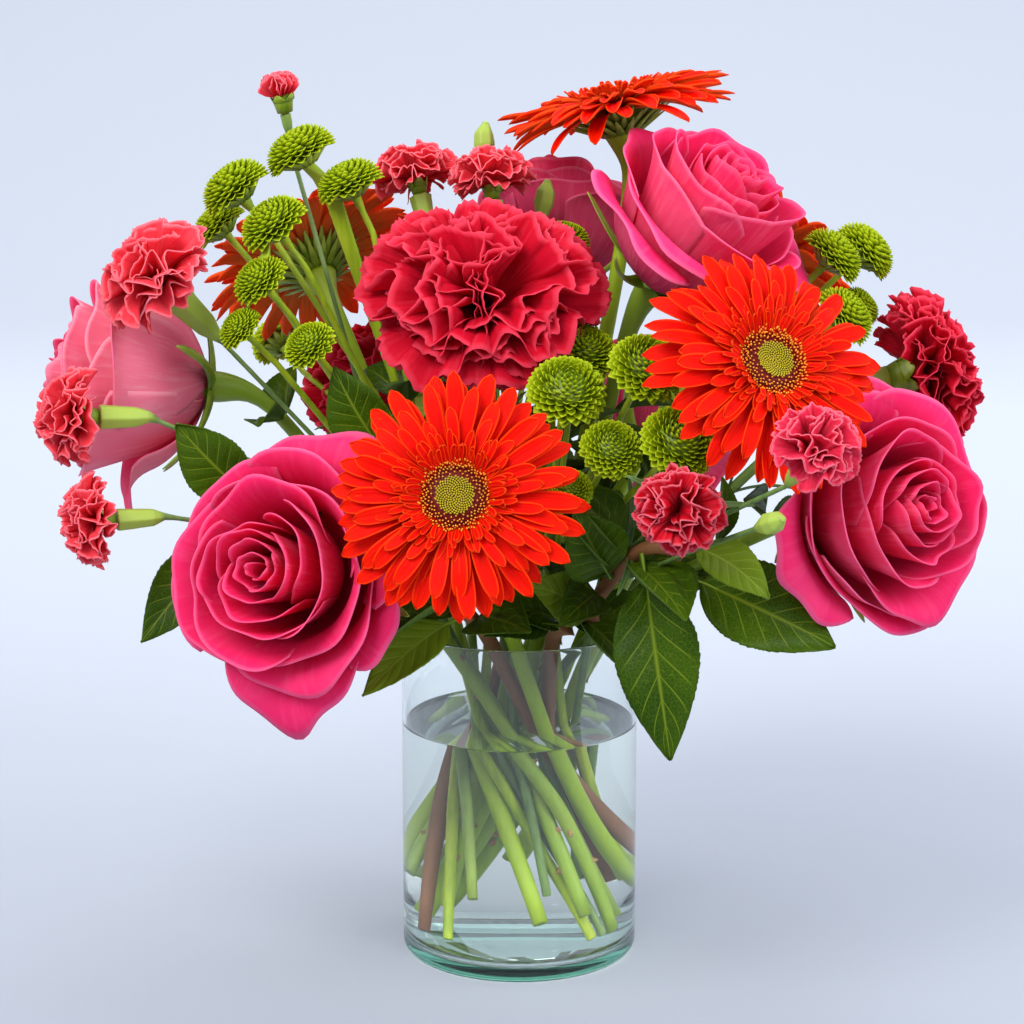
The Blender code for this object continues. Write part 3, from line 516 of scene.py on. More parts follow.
# How many florets and bracts a gerbera and a button head have. A gerbera's bracts are in each of 3 rows.
HEART_FLORETS, RING_FLORETS, GERBERA_BRACTS = 210, 300, 17
BUTTON_FLORETS, BUTTON_BRACTS = 200, 14


def lathe(shape, bloom, outline, sides, tone):
    """A turned skin about a bloom's axis. outline is (radius, height) pairs in metres, from the base up."""
    angle = np.linspace(0, 2 * math.pi, sides, endpoint=False)
    radial, out = np.array(outline).T
    points = bloom.around(angle[None], radial[:, None] + 0 * angle, 0 * angle[None], out[:, None])
    shape.grid(points, tone, closed=True)


def strap(
    shape, bloom, angle, path, width, rows, tone, cup=0.15, twist=0.0, bend=0.0, columns=5, notch=0.0
):
    """A strap petal, bract or sepal. path(u) gives radius and height, width(u) the half-width.

    tone is its own chance, and its place from outer to inner."""
    u = np.linspace(0, 1, rows)[:, None]
    v = np.linspace(-1, 1, columns)[None]
    radial, out = path(u)
    half = width(u)
    radial = radial - notch * np.abs(np.sin(1.5 * math.pi * v)) * eased(u, 0.8, 1.0)
    out = out + half * (cup * v**2 + twist * v * u - 0.12 * np.cos(3 * math.pi * v))
    points = bloom.around(angle, radial + 0 * v, half * v + bend * u**2, out)
    shape.grid(points[:, ::-1], (u, (v + 1) / 2, *tone))


def gerbera(name, chance):
    """Four rows of long rays, two rings of short ones, the disc's florets, and green bracts behind."""
    bloom = bloom_of(name, chance)
    R, D, any_ = bloom.radius, bloom.depth, bloom.any
    rays = Shape()
    rows = (
        # count, length, height at the eye and at the tips, droop, half-width, place from outer to inner
        (24, 1.00, 0.48, 0.66, 0.15, 0.070, 0.0),
        (23, 0.97, 0.56, 0.84, 0.12, 0.067, 0.12),
        (19, 0.88, 0.64, 1.00, 0.08, 0.058, 0.25),
        (17, 0.68, 0.70, 1.05, 0.04, 0.042, 0.45),
        (44, 0.52, 0.72, 1.04, 0.01, 0.020, 0.70),
        (56, 0.41, 0.74, 1.06, 0.00, 0.016, 0.85),
    )
    for row, (count, length, low, high, droop, half, inner) in enumerate(rows):
        for k in range(count):
            angle = 2 * math.pi * (k + 0.5 * (row % 2) + any_(-0.16, 0.16)) / count + 0.1 * row
            reach = R * length * any_(0.88, 1.02)
            rise, fall = D * (high + any_(-0.14, 0.14)), R * droop * any_(0.2, 1.7)

            def path(u, reach=reach, rise=rise, fall=fall, low=low, row=row):
                start = (0.15 + 0.03 * max(row - 2, 0)) * R
                return start + (reach - start) * u, D * low + (rise - D * low) * u**0.8 - fall * u**3

            def width(u, half=half):
                tip = np.sqrt(np.clip(1 - (np.clip(u - 0.74, 0, 1) / 0.26) ** 2, 0, 1))
                return R * half * (0.34 + 0.66 * eased(u, 0.0, 0.7)) * tip + 0.02 * MILLI

            strap(
                rays,
                bloom,
                angle,
                path,
                width,
                21,
                (any_(0, 1), inner),
                cup=any_(0.0, 0.42),
                twist=any_(-0.4, 0.4),
                bend=R * any_(-0.06, 0.06),
                columns=9,
                notch=0.5 * MILLI,
            )
    rays.piece(name + "_rays", "gerbera", name, "gerbera", 0.45 * MILLI)
    eye = Shape()
    disc = [(0.30 * R, 0.60 * D), (0.25 * R, 0.74 * D), (0.14 * R, 0.86 * D), (0, 0.86 * D)]
    lathe(eye, bloom, disc, 24, (0, 0, 0, 0))
    for k in range(HEART_FLORETS):
        share = math.sqrt((k + 0.5) / HEART_FLORETS)
        radial, out = 0.145 * R * share, D * (0.84 + 0.05 * share**2)
        floret(eye, bloom, k * GOLDEN, radial, out, 0.25 * share, 1.1 * MILLI, 0.33 * MILLI, 1.0)
    for k in range(RING_FLORETS):
        share = math.sqrt((k + 0.5) / RING_FLORETS)
        radial, out = R * (0.140 + 0.125 * share), D * (0.84 - 0.10 * share)
        lean = 0.1 + 0.6 * share + any_(-0.3, 0.3)
        length = any_(1.2, 1.6 + 2.4 * share) * MILLI
        floret(eye, bloom, k * GOLDEN, radial, out, lean, length, 0.30 * MILLI, 0.0)
    eye.piece(name + "_eye", "gerbera_eye", None, "gerbera")
    back = Shape()
    cup = [
        (0, 0.02 * D),
        (0.17 * R, 0.03 * D),
        (0.24 * R, 0.22 * D),
        (0.31 * R, 0.50 * D),
        (0.24 * R, 0.60 * D),
    ]
    lathe(back, bloom, cup, 28, (0.3, 0.5, 0.5, 0.5))
    for row in range(3):
        for k in range(GERBERA_BRACTS):
            angle = 2 * math.pi * (k + 0.5 * row) / GERBERA_BRACTS

            def path(u, row=row):
                return R * (0.16 + 0.03 * row + 0.24 * u), D * (0.02 + 0.12 * row + 0.34 * u) - 0.9 * MILLI

            def width(u):
                return 1.7 * MILLI * (1 - u**1.6) + 0.05 * MILLI

            strap(back, bloom, angle, path, width, 6, (any_(0, 1), 0.5))
    back.piece(name + "_bracts", "calyx", None, "green_stem", 0.3 * MILLI)


def floret(shape, bloom, angle, radial, out, lean, length, half, inner):
    """One small tube of a flower's disc, leaning outwards."""
    turns = np.linspace(0, 2 * math.pi, 6, endpoint=False)[None]
    u = np.array((0.0, 0.5, 0.85, 1.0))[:, None]
    size = half * np.array((0.7, 0.9, 1.25, 0.3))[:, None]
    along = radial + length * u * math.sin(lean) + size * np.cos(turns) * math.cos(lean)
    height = out + length * u * math.cos(lean) - size * np.cos(turns) * math.sin(lean)
    points = bloom.around(angle, along, size * np.sin(turns), height)
    shape.grid(points, (u, 0.5, bloom.random.random(), inner), closed=True)


def rose(name, look, chance, turn, guards):
    """A tight spiral of petals that open outwards into cups with rolled lips, and five sepals.

    guards are its loosest petals: the angle that each hangs at, and how far it reaches past the rest."""
    bloom = bloom_of(name, chance)
    R, D, any_ = bloom.radius, bloom.depth, bloom.any
    petals = Shape()
    heart_count, open_count = 12, 10
    angle = turn
    for k in range(heart_count + open_count):
        if k < heart_count:
            t = k / (heart_count - 1)
            radius, top = R * (0.05 + 0.34 * t**1.2), D * (0.90 + 0.05 * math.sin(math.pi * t))
            span, curl, tuck = 1.9 - 0.6 * t, R * (0.012 + 0.05 * t), 0.16
            angle += GOLDEN * 0.92 + any_(-0.25, 0.25)
            place = 1 - 0.6 * t
        else:
            t = (k - heart_count) / (open_count - 1)
            radius, top = R * (0.46 + 0.32 * t), D * (0.95 - 0.27 * t + any_(-0.03, 0.03))
            span, curl, tuck = 1.40 - 0.30 * t, R * (0.09 + 0.17 * t), 0.07
            angle += 2 * math.pi / 4 + 0.30 + any_(-0.14, 0.14)
            place = 0.35 * (1 - t)
        rose_cup(petals, bloom, angle, radius, top, span, curl * any_(0.75, 1.3), tuck, place)
    for way, reach in guards:
        top = D * (any_(0.66, 0.74) - 0.25 * reach)
        rose_cup(petals, bloom, way, R * 0.80, top, any_(0.80, 0.95) - 0.25 * reach, R * reach, 0.05, 0)
    petals.piece(name + "_petals", look, name, "rose", 0.5 * MILLI)
    sepals = Shape()
    for k in range(5):
        droop = any_(0.3, 1.2)

        def path(u, droop=droop):
            swept = 1.15 * u
            hug = 3.5 * MILLI + R * 0.97 * np.sin(swept)
            return hug, D * (0.62 * (1 - np.cos(swept)) - 0.16 * droop * u**3) - 1.2 * MILLI

        def width(u):
            return 5.4 * MILLI * (1 - u) ** 0.8 * (0.80 + 0.20 * np.cos(7 * u)) + 0.1 * MILLI

        way = 2 * math.pi * k / 5 + turn
        strap(sepals, bloom, way, path, width, 14, (any_(0, 1), 0.5), cup=0.3, bend=any_(-4, 4) * MILLI)
    hip = np.array([(0, 0.2), (6.2, 0.3), (8.0, 3), (6, 6)]) * MILLI
    lathe(sepals, bloom, hip, 20, (0.3, 0.5, 0.5, 0.5))
    sepals.piece(name + "_sepals", "calyx", None, "green_stem", 0.4 * MILLI)


def rose_cup(shape, bloom, angle, radius, top, span, curl, tuck, place):
    """One cupped petal, widest above its middle, with a wavy, rolled lip."""
    any_ = bloom.any
    u = np.linspace(0, 1, 24)[:, None]
    v = np.linspace(-1, 1, 33)[None]
    first, second = any_(0, 6), any_(0, 6)
    rim = 1 - 0.16 * np.abs(v) ** 4 + 0.022 * np.sin(3.2 * v + first) + 0.012 * np.sin(9 * v + second)
    reach = u * (rim + any_(0.0, 0.035) * np.exp(-((v / 0.15) ** 2)))
    turn = np.minimum(reach, 1.1) * math.pi / 2
    lip = np.clip((reach - 0.66) / 0.34, 0, 1.3)
    roll = curl * (1 + 0.30 * np.sin(2.2 * v + second))
    radial = radius * np.sin(turn) ** 0.85 * (1 + 0.10 * np.sin(2 * turn)) + roll * lip**1.7
    out = top * (1 - np.cos(turn)) ** 0.85 - 0.70 * roll * lip**3
    radial = radial * (1 + tuck * v * eased(u, 0.1, 0.6))
    wave = 0.028 * np.sin(any_(2.5, 4.5) * v + first) + 0.010 * np.sin(11 * v + second)
    wave = min(2.0 * radius, bloom.radius) * lip * wave
    open_to = span * (0.50 + 0.50 * eased(u, 0, 0.55))
    spot = angle + v * open_to
    points = bloom.around(spot, np.maximum(radial + wave, 0.4 * MILLI), 0 * v, out + 0.6 * wave + 1.0 * MILLI)
    shape.grid(points[:, ::-1], (u, 0.5 - v / 2, any_(0, 1), place))


def carnation(name, look, slot, chance, count, ruffle, stalk, hearts=0.0, widest=84, taller=1.0, cup=1.0):
    """Fan petals with frilled, toothed edges, packed into a dome over a green calyx."""
    bloom = bloom_of(name, chance)
    bloom.depth *= taller
    R, D, any_ = bloom.radius, bloom.depth, bloom.any
    petals = Shape()
    for k in range(count):
        share = (k + 0.5) / count
        tilt = math.radians(5 + (widest - 5) * share**0.60)
        angle = k * GOLDEN + any_(-0.3, 0.3)
        length = fan_length(R, D, tilt) * any_(0.88, 1.02)
        roll = any_(-1, 1) * (1.25 - 1.15 * share)
        shift = hearts * R * (1 - share) * (1 if k % 2 else -1)
        frill = ruffle * any_(0.75, 1.3) * (1.25 - 0.45 * share)
        fan_petal(petals, bloom, angle, tilt, length, any_(0.55, 0.78), frill, roll, 1 - share, shift)
    petals.piece(name + "_petals", look, name, slot, 0.35 * MILLI)
    calyx = Shape()
    top, wide = 0.20 * D * cup, R * cup
    sides = [(0, 0.1 * MILLI), (0.15 * wide, 0.15 * MILLI), (0.19 * wide, top * 0.6), (0.17 * wide, top)]
    lathe(calyx, bloom, sides, 20, (0.3, 0.5, 0.5, 0.5))
    for k in range(5):

        def path(u):
            return wide * (0.17 + 0.07 * u), top * (0.6 + u / cup)

        def width(u):
            return stalk * 1.1 * (1 - u**1.4) + 0.05 * MILLI

        strap(calyx, bloom, 2 * math.pi * k / 5, path, width, 7, (any_(0, 1), 0.5))
    calyx.piece(name + "_calyx", "calyx", None, "green_stem", 0.3 * MILLI)


def fan_length(R, D, tilt):
    """How far a petal reaches from the base to the dome's surface at that tilt."""
    low, middle, half = 0.10 * D, 0.47 * D, 0.53 * D
    x, z = math.sin(tilt), math.cos(tilt)
    a = (x / R) ** 2 + (z / half) ** 2
    b = 2 * z * (low - middle) / half**2
    c = ((low - middle) / half) ** 2 - 1
    return (-b + math.sqrt(b * b - 4 * a * c)) / (2 * a)


def fan_petal(shape, bloom, angle, tilt, length, spread, ruffle, roll, place, shift):
    """One fan, narrow at its claw, waved and toothed at its edge. shift moves it to one of two hearts."""
    any_ = bloom.any
    u = np.linspace(0, 1, 17)[:, None]
    v = np.linspace(-1, 1, 45)[None]
    teeth = np.abs((v * 10 + any_(0, 1)) % 1 - 0.5) * 2
    notches = np.abs((v * 2.6 + any_(0, 1)) % 1 - 0.5) * 2
    reach = length * u * (1 - 0.12 * v**4 - (0.030 * teeth + 0.06 * notches**4) * eased(u, 0.84, 1.0))
    fan = spread * v * (0.25 + 0.75 * eased(u, 0.1, 0.75))
    along, across = reach * np.cos(fan), reach * np.sin(fan)
    first, second = any_(0, 6), any_(0, 6)
    frill = np.sin(any_(1.3, 2.3) * math.pi * v + first)
    frill = frill + 0.40 * np.sin(any_(3.4, 4.8) * math.pi * v + second)
    lift = ruffle * length * (frill + 0.12 * np.sin(8 * math.pi * v + first)) * eased(u, 0.35, 1.0) ** 1.4
    lean = tilt * (0.45 + 0.55 * u) + any_(-0.06, 0.06)
    side = across * math.cos(roll) - lift * math.sin(roll)
    lift = across * math.sin(roll) + lift * math.cos(roll)
    radial = along * np.sin(lean) - lift * np.cos(lean)
    out = along * np.cos(lean) + lift * np.sin(lean) + 0.10 * bloom.depth
    points = bloom.around(angle, radial, side, out) + (shift * u)[..., None] * bloom.side
    shape.grid(points, (u, (v + 1) / 2, any_(0, 1), place))


def button_heads(node):
    """Domes of small incurved florets, tightest at the crown, with dark bracts beneath."""
    heads, bracts = Shape(), Shape()
    blooms = heads_of(node)
    u = np.linspace(0, 1, 6)[:, None]
    v = np.linspace(-1, 1, 4)[None]
    for bloom in blooms:
        R, D, any_ = bloom.radius, bloom.depth, bloom.any
        for k in range(BUTTON_FLORETS):
            share = (k + 0.5) / BUTTON_FLORETS
            polar = math.radians(4 + 100 * share**0.58)
            size = R * (0.12 + 0.37 * share**0.7)
            curl = polar + (0.15 + 0.25 * share) - (0.62 - 0.35 * share) * u
            start = R * 0.67 - 0.25 * size
            tip = np.sqrt(np.clip(1.02 - eased(u, 0.6, 1.0) ** 2, 0, 1))
            half = size * (0.24 + 0.08 * np.sin(math.pi * u)) * tip
            lift = half * 0.5 * v**2
            radial = start * math.sin(polar) + size * u * np.sin(curl) - lift * math.cos(polar)
            out = 0.40 * D + start * math.cos(polar) * 0.80 + size * u * np.cos(curl)
            out = out + lift * math.sin(polar)
            points = bloom.around(k * GOLDEN + any_(-0.08, 0.08), radial, half * v, out)
            heads.grid(points, (0.25 + 0.75 * u, (v + 1) / 2, any_(0, 1), (1 - share) ** 2))
        cup = [
            (0, 0.02 * D),
            (0.35 * R, 0.06 * D),
            (0.62 * R, 0.30 * D),
            (0.60 * R, 0.62 * D),
            (0.30 * R, 0.80 * D),
            (0, 0.84 * D),
        ]
        lathe(bracts, bloom, cup, 16, (0.0, 0.5, 0.2, 0.0))
        for k in range(BUTTON_BRACTS):
            angle = 2 * math.pi * k / BUTTON_BRACTS

            def path(u):
                return R * (0.25 + 0.58 * u), D * (0.02 + 0.30 * u)

            def width(u):
                return R * 0.13 * (1 - u**1.5) + 0.05 * MILLI

            strap(bracts, bloom, angle, path, width, 5, (any_(0, 1), 0.0), columns=3)
    heads.piece(node + "_florets", "button", None, "button_spray", 0.22 * MILLI)
    bracts.piece(node + "_bracts", "calyx", None, "button_spray", 0.25 * MILLI)
    return blooms


# ---- leaves, stems, vase ----------------------------------------------------------------------------


def leaf(name, look, chance):
    """A blade on the CAD leaf's own bend, with a toothed edge, a folded midrib and a round stalk."""
    solid = welded(name)
    points = np.array([vert.co for vert in solid.verts])
    solid.free()
    middle = points.mean(axis=0)
    _, _, axes = np.linalg.svd(points - middle)
    local = (points - middle) @ axes.T
    order = local[:, 0].argsort()
    if np.ptp(local[order[-6:], 1]) > np.ptp(local[order[:6], 1]):
        axes[0], local[:, 0] = -axes[0], -local[:, 0]
    start, length = local[:, 0].min(), np.ptp(local[:, 0])
    s, t, h = (local[:, 0] - start) / length, np.abs(local[:, 1]), local[:, 2]
    terms = np.stack([np.ones_like(s), s, s**2, s**3, t], axis=1)
    fit = np.linalg.lstsq(terms, h, rcond=None)[0]
    if fit[4] < 0:
        axes[2], fit = -axes[2], -fit
    half = np.abs(local[:, 1]).max()
    random = np.random.default_rng(chance)
    u = np.linspace(0, 1, 90)[:, None]
    v = np.linspace(-1, 1, 29)[None]
    blade = np.clip((u - 0.14) / 0.86, 0, 1)
    width = half * np.sin(math.pi * blade**0.78) ** 0.86 * (1 - 0.10 * blade) + 0.9 * MILLI * (1 - blade)
    saw = (blade * 34 * (1 + 0.15 * np.sin(9 * blade))) % 1
    width = width * (1 - 0.035 * saw * eased(blade, 0.02, 0.2) * np.abs(v) ** 6)
    side = width * v + half * 0.10 * np.sin(2.3 * u + random.uniform(0, 6)) * u
    veins = np.cos(2 * math.pi * (7 * blade - 1.9 * np.abs(v) ** 0.8))
    lift = fit[0] + fit[1] * u + fit[2] * u**2 + fit[3] * u**3 + fit[4] * np.abs(side)
    lift = lift + 0.14 * MILLI * veins * eased(np.abs(v), 0.02, 0.3) * eased(blade, 0, 0.1)
    lift = lift + half * 0.09 * np.sin(7 * blade + 3 * v + random.uniform(0, 6)) * np.abs(v) ** 2
    points = middle + np.stack([start + length * u + 0 * v, side + 0 * u, lift], axis=-1) @ axes
    if np.dot(np.cross(axes[0], axes[1]), axes[2]) < 0:
        points = points[:, ::-1]
    shape = Shape()
    shape.grid(points[:, ::-1], (blade, (v + 1) / 2, random.random(), 0.0))
    shape.piece(name + "_blade", look, name, "leaf", 0.5 * MILLI)
    stalk = Shape()
    turns = np.linspace(0, 2 * math.pi, 8, endpoint=False)[None]
    u = np.linspace(0, 0.30, 10)[:, None]
    radius = 0.95 * MILLI * (1 - 2.4 * u)
    lift = fit[0] + fit[1] * u + fit[2] * u**2 + radius * np.cos(turns) - 0.3 * MILLI
    points = middle + np.stack([start + length * u + 0 * turns, radius * np.sin(turns), lift], axis=-1) @ axes
    stalk.grid(points, (0.2, 0.5, 0.5, 0.5), closed=True)
    stalk.piece(name + "_stalk", "calyx", None, "green_stem")


def stem(name, look, swell):
    """A CAD stem rounded by subdivision. swell gives back the girth that rounding takes."""
    solid = welded(name)
    bmesh.ops.join_triangles(
        solid,
        faces=solid.faces,
        angle_face_threshold=math.radians(25),
        angle_shape_threshold=math.radians(80),
    )
    crease = solid.edges.layers.float.new("crease_edge")
    for edge in solid.edges:
        if len(edge.link_faces) == 2 and edge.calc_face_angle(0) > math.radians(75):
            edge[crease] = 1.0
    mesh = bpy.data.meshes.new(name + "_skin")
    solid.to_mesh(mesh)
    solid.free()
    girth(mesh)
    mesh.shade_smooth()
    made = placed(name + "_skin", mesh, look, name)
    fatter = made.modifiers.new("swell", "DISPLACE")
    fatter.strength, fatter.mid_level = swell, 0
    rounded = made.modifiers.new("rounded", "SUBSURF")
    rounded.levels = rounded.render_levels = 2


def girth(mesh):
    """Writes how thick a stem is at each point, in centimetres, as its tone."""
    solid = bmesh.new()
    solid.from_mesh(mesh)
    tree = BVHTree.FromBMesh(solid)
    tone = mesh.color_attributes.new("tone", "FLOAT_COLOR", "POINT")
    for vert in solid.verts:
        through = tree.ray_cast(vert.co - vert.normal * 0.05 * MILLI, -vert.normal, 0.03)[3]
        tone.data[vert.index].color = (100 * (through or 0), 0, 0, 0)
    solid.free()


def spray(name, look, heads=()):
    """A branching CAD stem, remeshed so that its forks flow together. Heads shrink to cores."""
    solid = welded(name)
    for bloom in heads:
        for vert in solid.verts:
            local = np.array(vert.co) - bloom.base
            out = local @ bloom.axis
            across = local - out * bloom.axis
            far = np.linalg.norm(across)
            inside = -MILLI < out < bloom.depth * 1.05 and far < bloom.radius * 1.03
            if inside and (far > 0.29 * bloom.radius or out > 0.3 * bloom.depth):
                vert.co = Vector(bloom.base + across * 0.5 + bloom.axis * (0.2 * bloom.depth + out * 0.45))
    mesh = bpy.data.meshes.new(name + "_rough")
    solid.to_mesh(mesh)
    solid.free()
    rough = bpy.data.objects.new(name + "_rough", mesh)
    bpy.context.scene.collection.objects.link(rough)
    blend = rough.modifiers.new("one_skin", "REMESH")
    blend.mode, blend.voxel_size, blend.use_smooth_shade = "VOXEL", 0.55 * MILLI, True
    soft = rough.modifiers.new("soft", "SMOOTH")
    soft.factor, soft.iterations = 0.5, 6
    skin = bpy.data.meshes.new_from_object(rough.evaluated_get(bpy.context.evaluated_depsgraph_get()))
    bpy.data.objects.remove(rough)
    bpy.data.meshes.remove(mesh)
    girth(skin)
    placed(name + "_skin", skin, look, name)


def spine(name, low, high, count):
    """Points evenly up a stem, from one height to another, as (centre, direction) pairs."""
    solid = welded(name)
    ends = np.array([[vert.co for vert in edge.verts] for edge in solid.edges])
    solid.free()
    centres = []
    low = max(low, ends[:, 0, 2].min() + 4 * MILLI)
    high = min(high, ends[:, 0, 2].max() - 4 * MILLI)
    for height in np.linspace(low, high, 9):
        crossing = ends[(ends[:, 0, 2] - height) * (ends[:, 1, 2] - height) < 0]
        first, last = crossing[:, 0], crossing[:, 1]
        share = (height - first[:, 2]) / (last[:, 2] - first[:, 2])
        cut = first + (last - first) * share[:, None]
        nearest = cut[np.linalg.norm(cut - (centres[-1] if centres else cut[0]), axis=1).argmin()]
        centres.append(cut[np.linalg.norm(cut - nearest, axis=1) < 7 * MILLI].mean(axis=0))
    chosen = np.linspace(1, 7, count).round().astype(int)
    return [(centres[k], unit(centres[k + 1] - centres[k - 1])) for k in chosen]


def narrow_leaves(name, low, high, count, length, chance):
    """Pairs of narrow blades that spring from a stem's nodes and curve outwards."""
    shape = Shape()
    for number, (centre, along) in enumerate(spine(name, low, high, count)):
        joint = Bloom(centre, along, 2 * MILLI, 2 * MILLI, 40 * chance + number)
        any_ = joint.any
        for side in (0, math.pi):
            reach, sag = length * any_(0.7, 1.2), any_(0.2, 0.9)

            def path(u, reach=reach, sag=sag):
                return MILLI + reach * (0.30 * u + 0.45 * u**2), reach * (0.85 * u - 0.45 * sag * u**3)

            def width(u):
                return 1.9 * MILLI * np.sqrt(np.clip(1 - u, 0, 1)) + 0.1 * MILLI

            way, own = side + number * 1.4 + any_(-0.5, 0.5), any_(0, 1)
            strap(shape, joint, way, path, width, 16, (own, 0.5), cup=0.5, bend=any_(-6, 6) * MILLI)
    shape.piece(name + "_leaves", "blade", None, "green_stem", 0.4 * MILLI)


def leaflets(name, low, high, count, length, chance):
    """Small toothed leaves in pairs up a stem."""
    shape = Shape()
    for number, (centre, along) in enumerate(spine(name, low, high, count)):
        joint = Bloom(centre, along, 2 * MILLI, 2 * MILLI, 60 * chance + number)
        any_ = joint.any
        for side in range(2):
            reach, sag = length * any_(0.75, 1.15), any_(0.2, 1.0)

            def path(u, reach=reach, sag=sag):
                return MILLI + reach * (0.55 * u + 0.25 * u**2), reach * (0.60 * u - 0.40 * sag * u**2)

            def width(u, reach=reach):
                saw = 1 - 0.07 * ((u * 16) % 1)
                blade = np.clip((u - 0.1) / 0.9, 0, 1)
                return 0.24 * reach * np.sin(math.pi * blade**0.8) * saw + 0.5 * MILLI

            way, own = math.pi * side + number * 2.0 + any_(-0.5, 0.5), any_(0, 1)
            twist, bend = any_(-0.3, 0.3), any_(-5, 5) * MILLI
            strap(shape, joint, way, path, width, 33, (own, 0.0), 0.35, twist, bend, columns=13)
    shape.piece(name + "_leaflets", "leaf", None, "leaf", 0.4 * MILLI)


def thorns(name, low, high, count, chance):
    """Short hooked thorns, all round a rose's stem."""
    shape = Shape()
    for number, (centre, along) in enumerate(spine(name, low, high, count)):
        joint = Bloom(centre, along, 2 * MILLI, 2 * MILLI, 80 * chance + number)
        turns = np.linspace(0, 2 * math.pi, 10, endpoint=False)[None]
        u = np.linspace(0, 1, 7)[:, None]
        size = 1.7 * MILLI * (1 - u) ** 1.3 + 0.08 * MILLI
        out = 1.6 * MILLI + 3.2 * MILLI * u
        drop = -1.2 * MILLI * u**2 + 1.8 * size * np.cos(turns)
        points = joint.around(2.4 * number + chance, out + 0 * turns, size * np.sin(turns), drop)
        shape.grid(points, (0.4, 0.5, 0.5, 0.5), closed=True)
    shape.piece(name + "_thorns", "thorn", None, "green_stem")


VASE_SIDES = 128


def turned(name, outline, look, node):
    """A closed solid of revolution about the vase's axis. outline is (radius, height) pairs in metres."""
    angle = np.linspace(0, 2 * math.pi, VASE_SIDES, endpoint=False)
    radial, out = (column[:, None] for column in np.array(outline).T)
    points = np.stack([radial * np.cos(angle), radial * np.sin(angle), out + 0 * angle], axis=-1)
    shape = Shape()
    shape.grid(points[:, ::-1], (0, 0, 0, 0), closed=True)
    made = shape.piece(name, look, node, node)
    weld = bmesh.new()
    weld.from_mesh(made.data)
    bmesh.ops.remove_doubles(weld, verts=weld.verts, dist=0.01 * MILLI)
    bmesh.ops.recalc_face_normals(weld, faces=weld.faces)
    weld.to_mesh(made.data)
    weld.free()
    made.data.shade_smooth()
    made.visible_shadow = False


def arc(x, z, radius, low, high, count):
    """Points on a circle from one angle to another, in degrees."""
    angles = np.radians(np.linspace(low, high, count))
    return [(x + radius * math.cos(angle), z + radius * math.sin(angle)) for angle in angles]


def vase_and_water():
    """The glass, with the CAD vase's wall and floor, and the water, which reaches just into the glass."""
    radius, _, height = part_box("vase")[1]
    solid = welded("vase")
    spots = np.array([vert.co for vert in solid.verts])
    solid.free()
    radial = np.hypot(spots[:, 0], spots[:, 1])
    inner = radial[(spots[:, 2] > height * 0.5) & (radial < radius - MILLI)].max()
    floor = spots[(radial > 0.8 * inner) & (radial < 0.9 * inner)][:, 2].max()
    lip = (radius - inner) / 2
    foot = 5 * MILLI
    outline = [(0.0, floor), (0.4 * inner, floor - 0.4 * MILLI)]
    outline += arc(inner - foot, floor + foot, foot, -90, 0, 10)
    outline += [(inner, z) for z in np.linspace(floor + 2 * foot, height - 3 * lip, 14)]
    outline += arc(inner + lip, height - lip, lip, 180, 0, 13)
    outline += [(radius, z) for z in np.linspace(height - 3 * lip, 2 * foot, 14)]
    outline += arc(radius - foot, foot, foot, 0, -90, 10)
    outline += [(0.86 * radius - foot, 0.0), (0.80 * radius - foot, 0.7 * MILLI), (0.0, 0.9 * MILLI)]
    turned("vase_glass", outline, "glass", "vase")
    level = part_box("water")[1][2]
    edge = inner + 0.5 * MILLI
    low = floor - 0.9 * MILLI
    outline = [(0.0, level), (inner - 4 * MILLI, level), (inner - 1.5 * MILLI, level + 0.25 * MILLI)]
    outline += [(edge, level + 1.1 * MILLI), (edge, level + 0.5 * MILLI)]
    outline += [(edge, z) for z in np.linspace(level - 0.5 * MILLI, low + foot + MILLI, 14)]
    outline += arc(edge - foot, low + foot, foot, 0, -90, 8)
    outline += [(0.0, low)]
    turned("vase_water", outline, "water", "water")


# ---- the bouquet ------------------------------------------------------------------------------------

# The salal leaves that are young and pale.
LEAF_LOOKS = {"leaf_right_high": "young_leaf", "leaf_rim_left": "young_leaf", "leaf_centre_low": "young_leaf"}
# Each rose's loosest petals: the angle that each hangs at, and how far it reaches past the rest.
GUARDS = {
    "rose_front": ((-1.4, 0.32), (1.35, 0.42), (-0.1, 0.36)),
    "rose_right": ((3.5, 0.34), (-1.9, 0.12), (1.4, 0.30)),
    "rose_left": ((-1.5, 0.34),),
    "rose_top": ((2.9, 0.42),),
}
USUAL_GUARDS = ((-1.5, 0.34), (2.4, 0.34))
SPRAY_LOOKS = {"spray_front": "crimson", "spray_front_right": "rosy"}

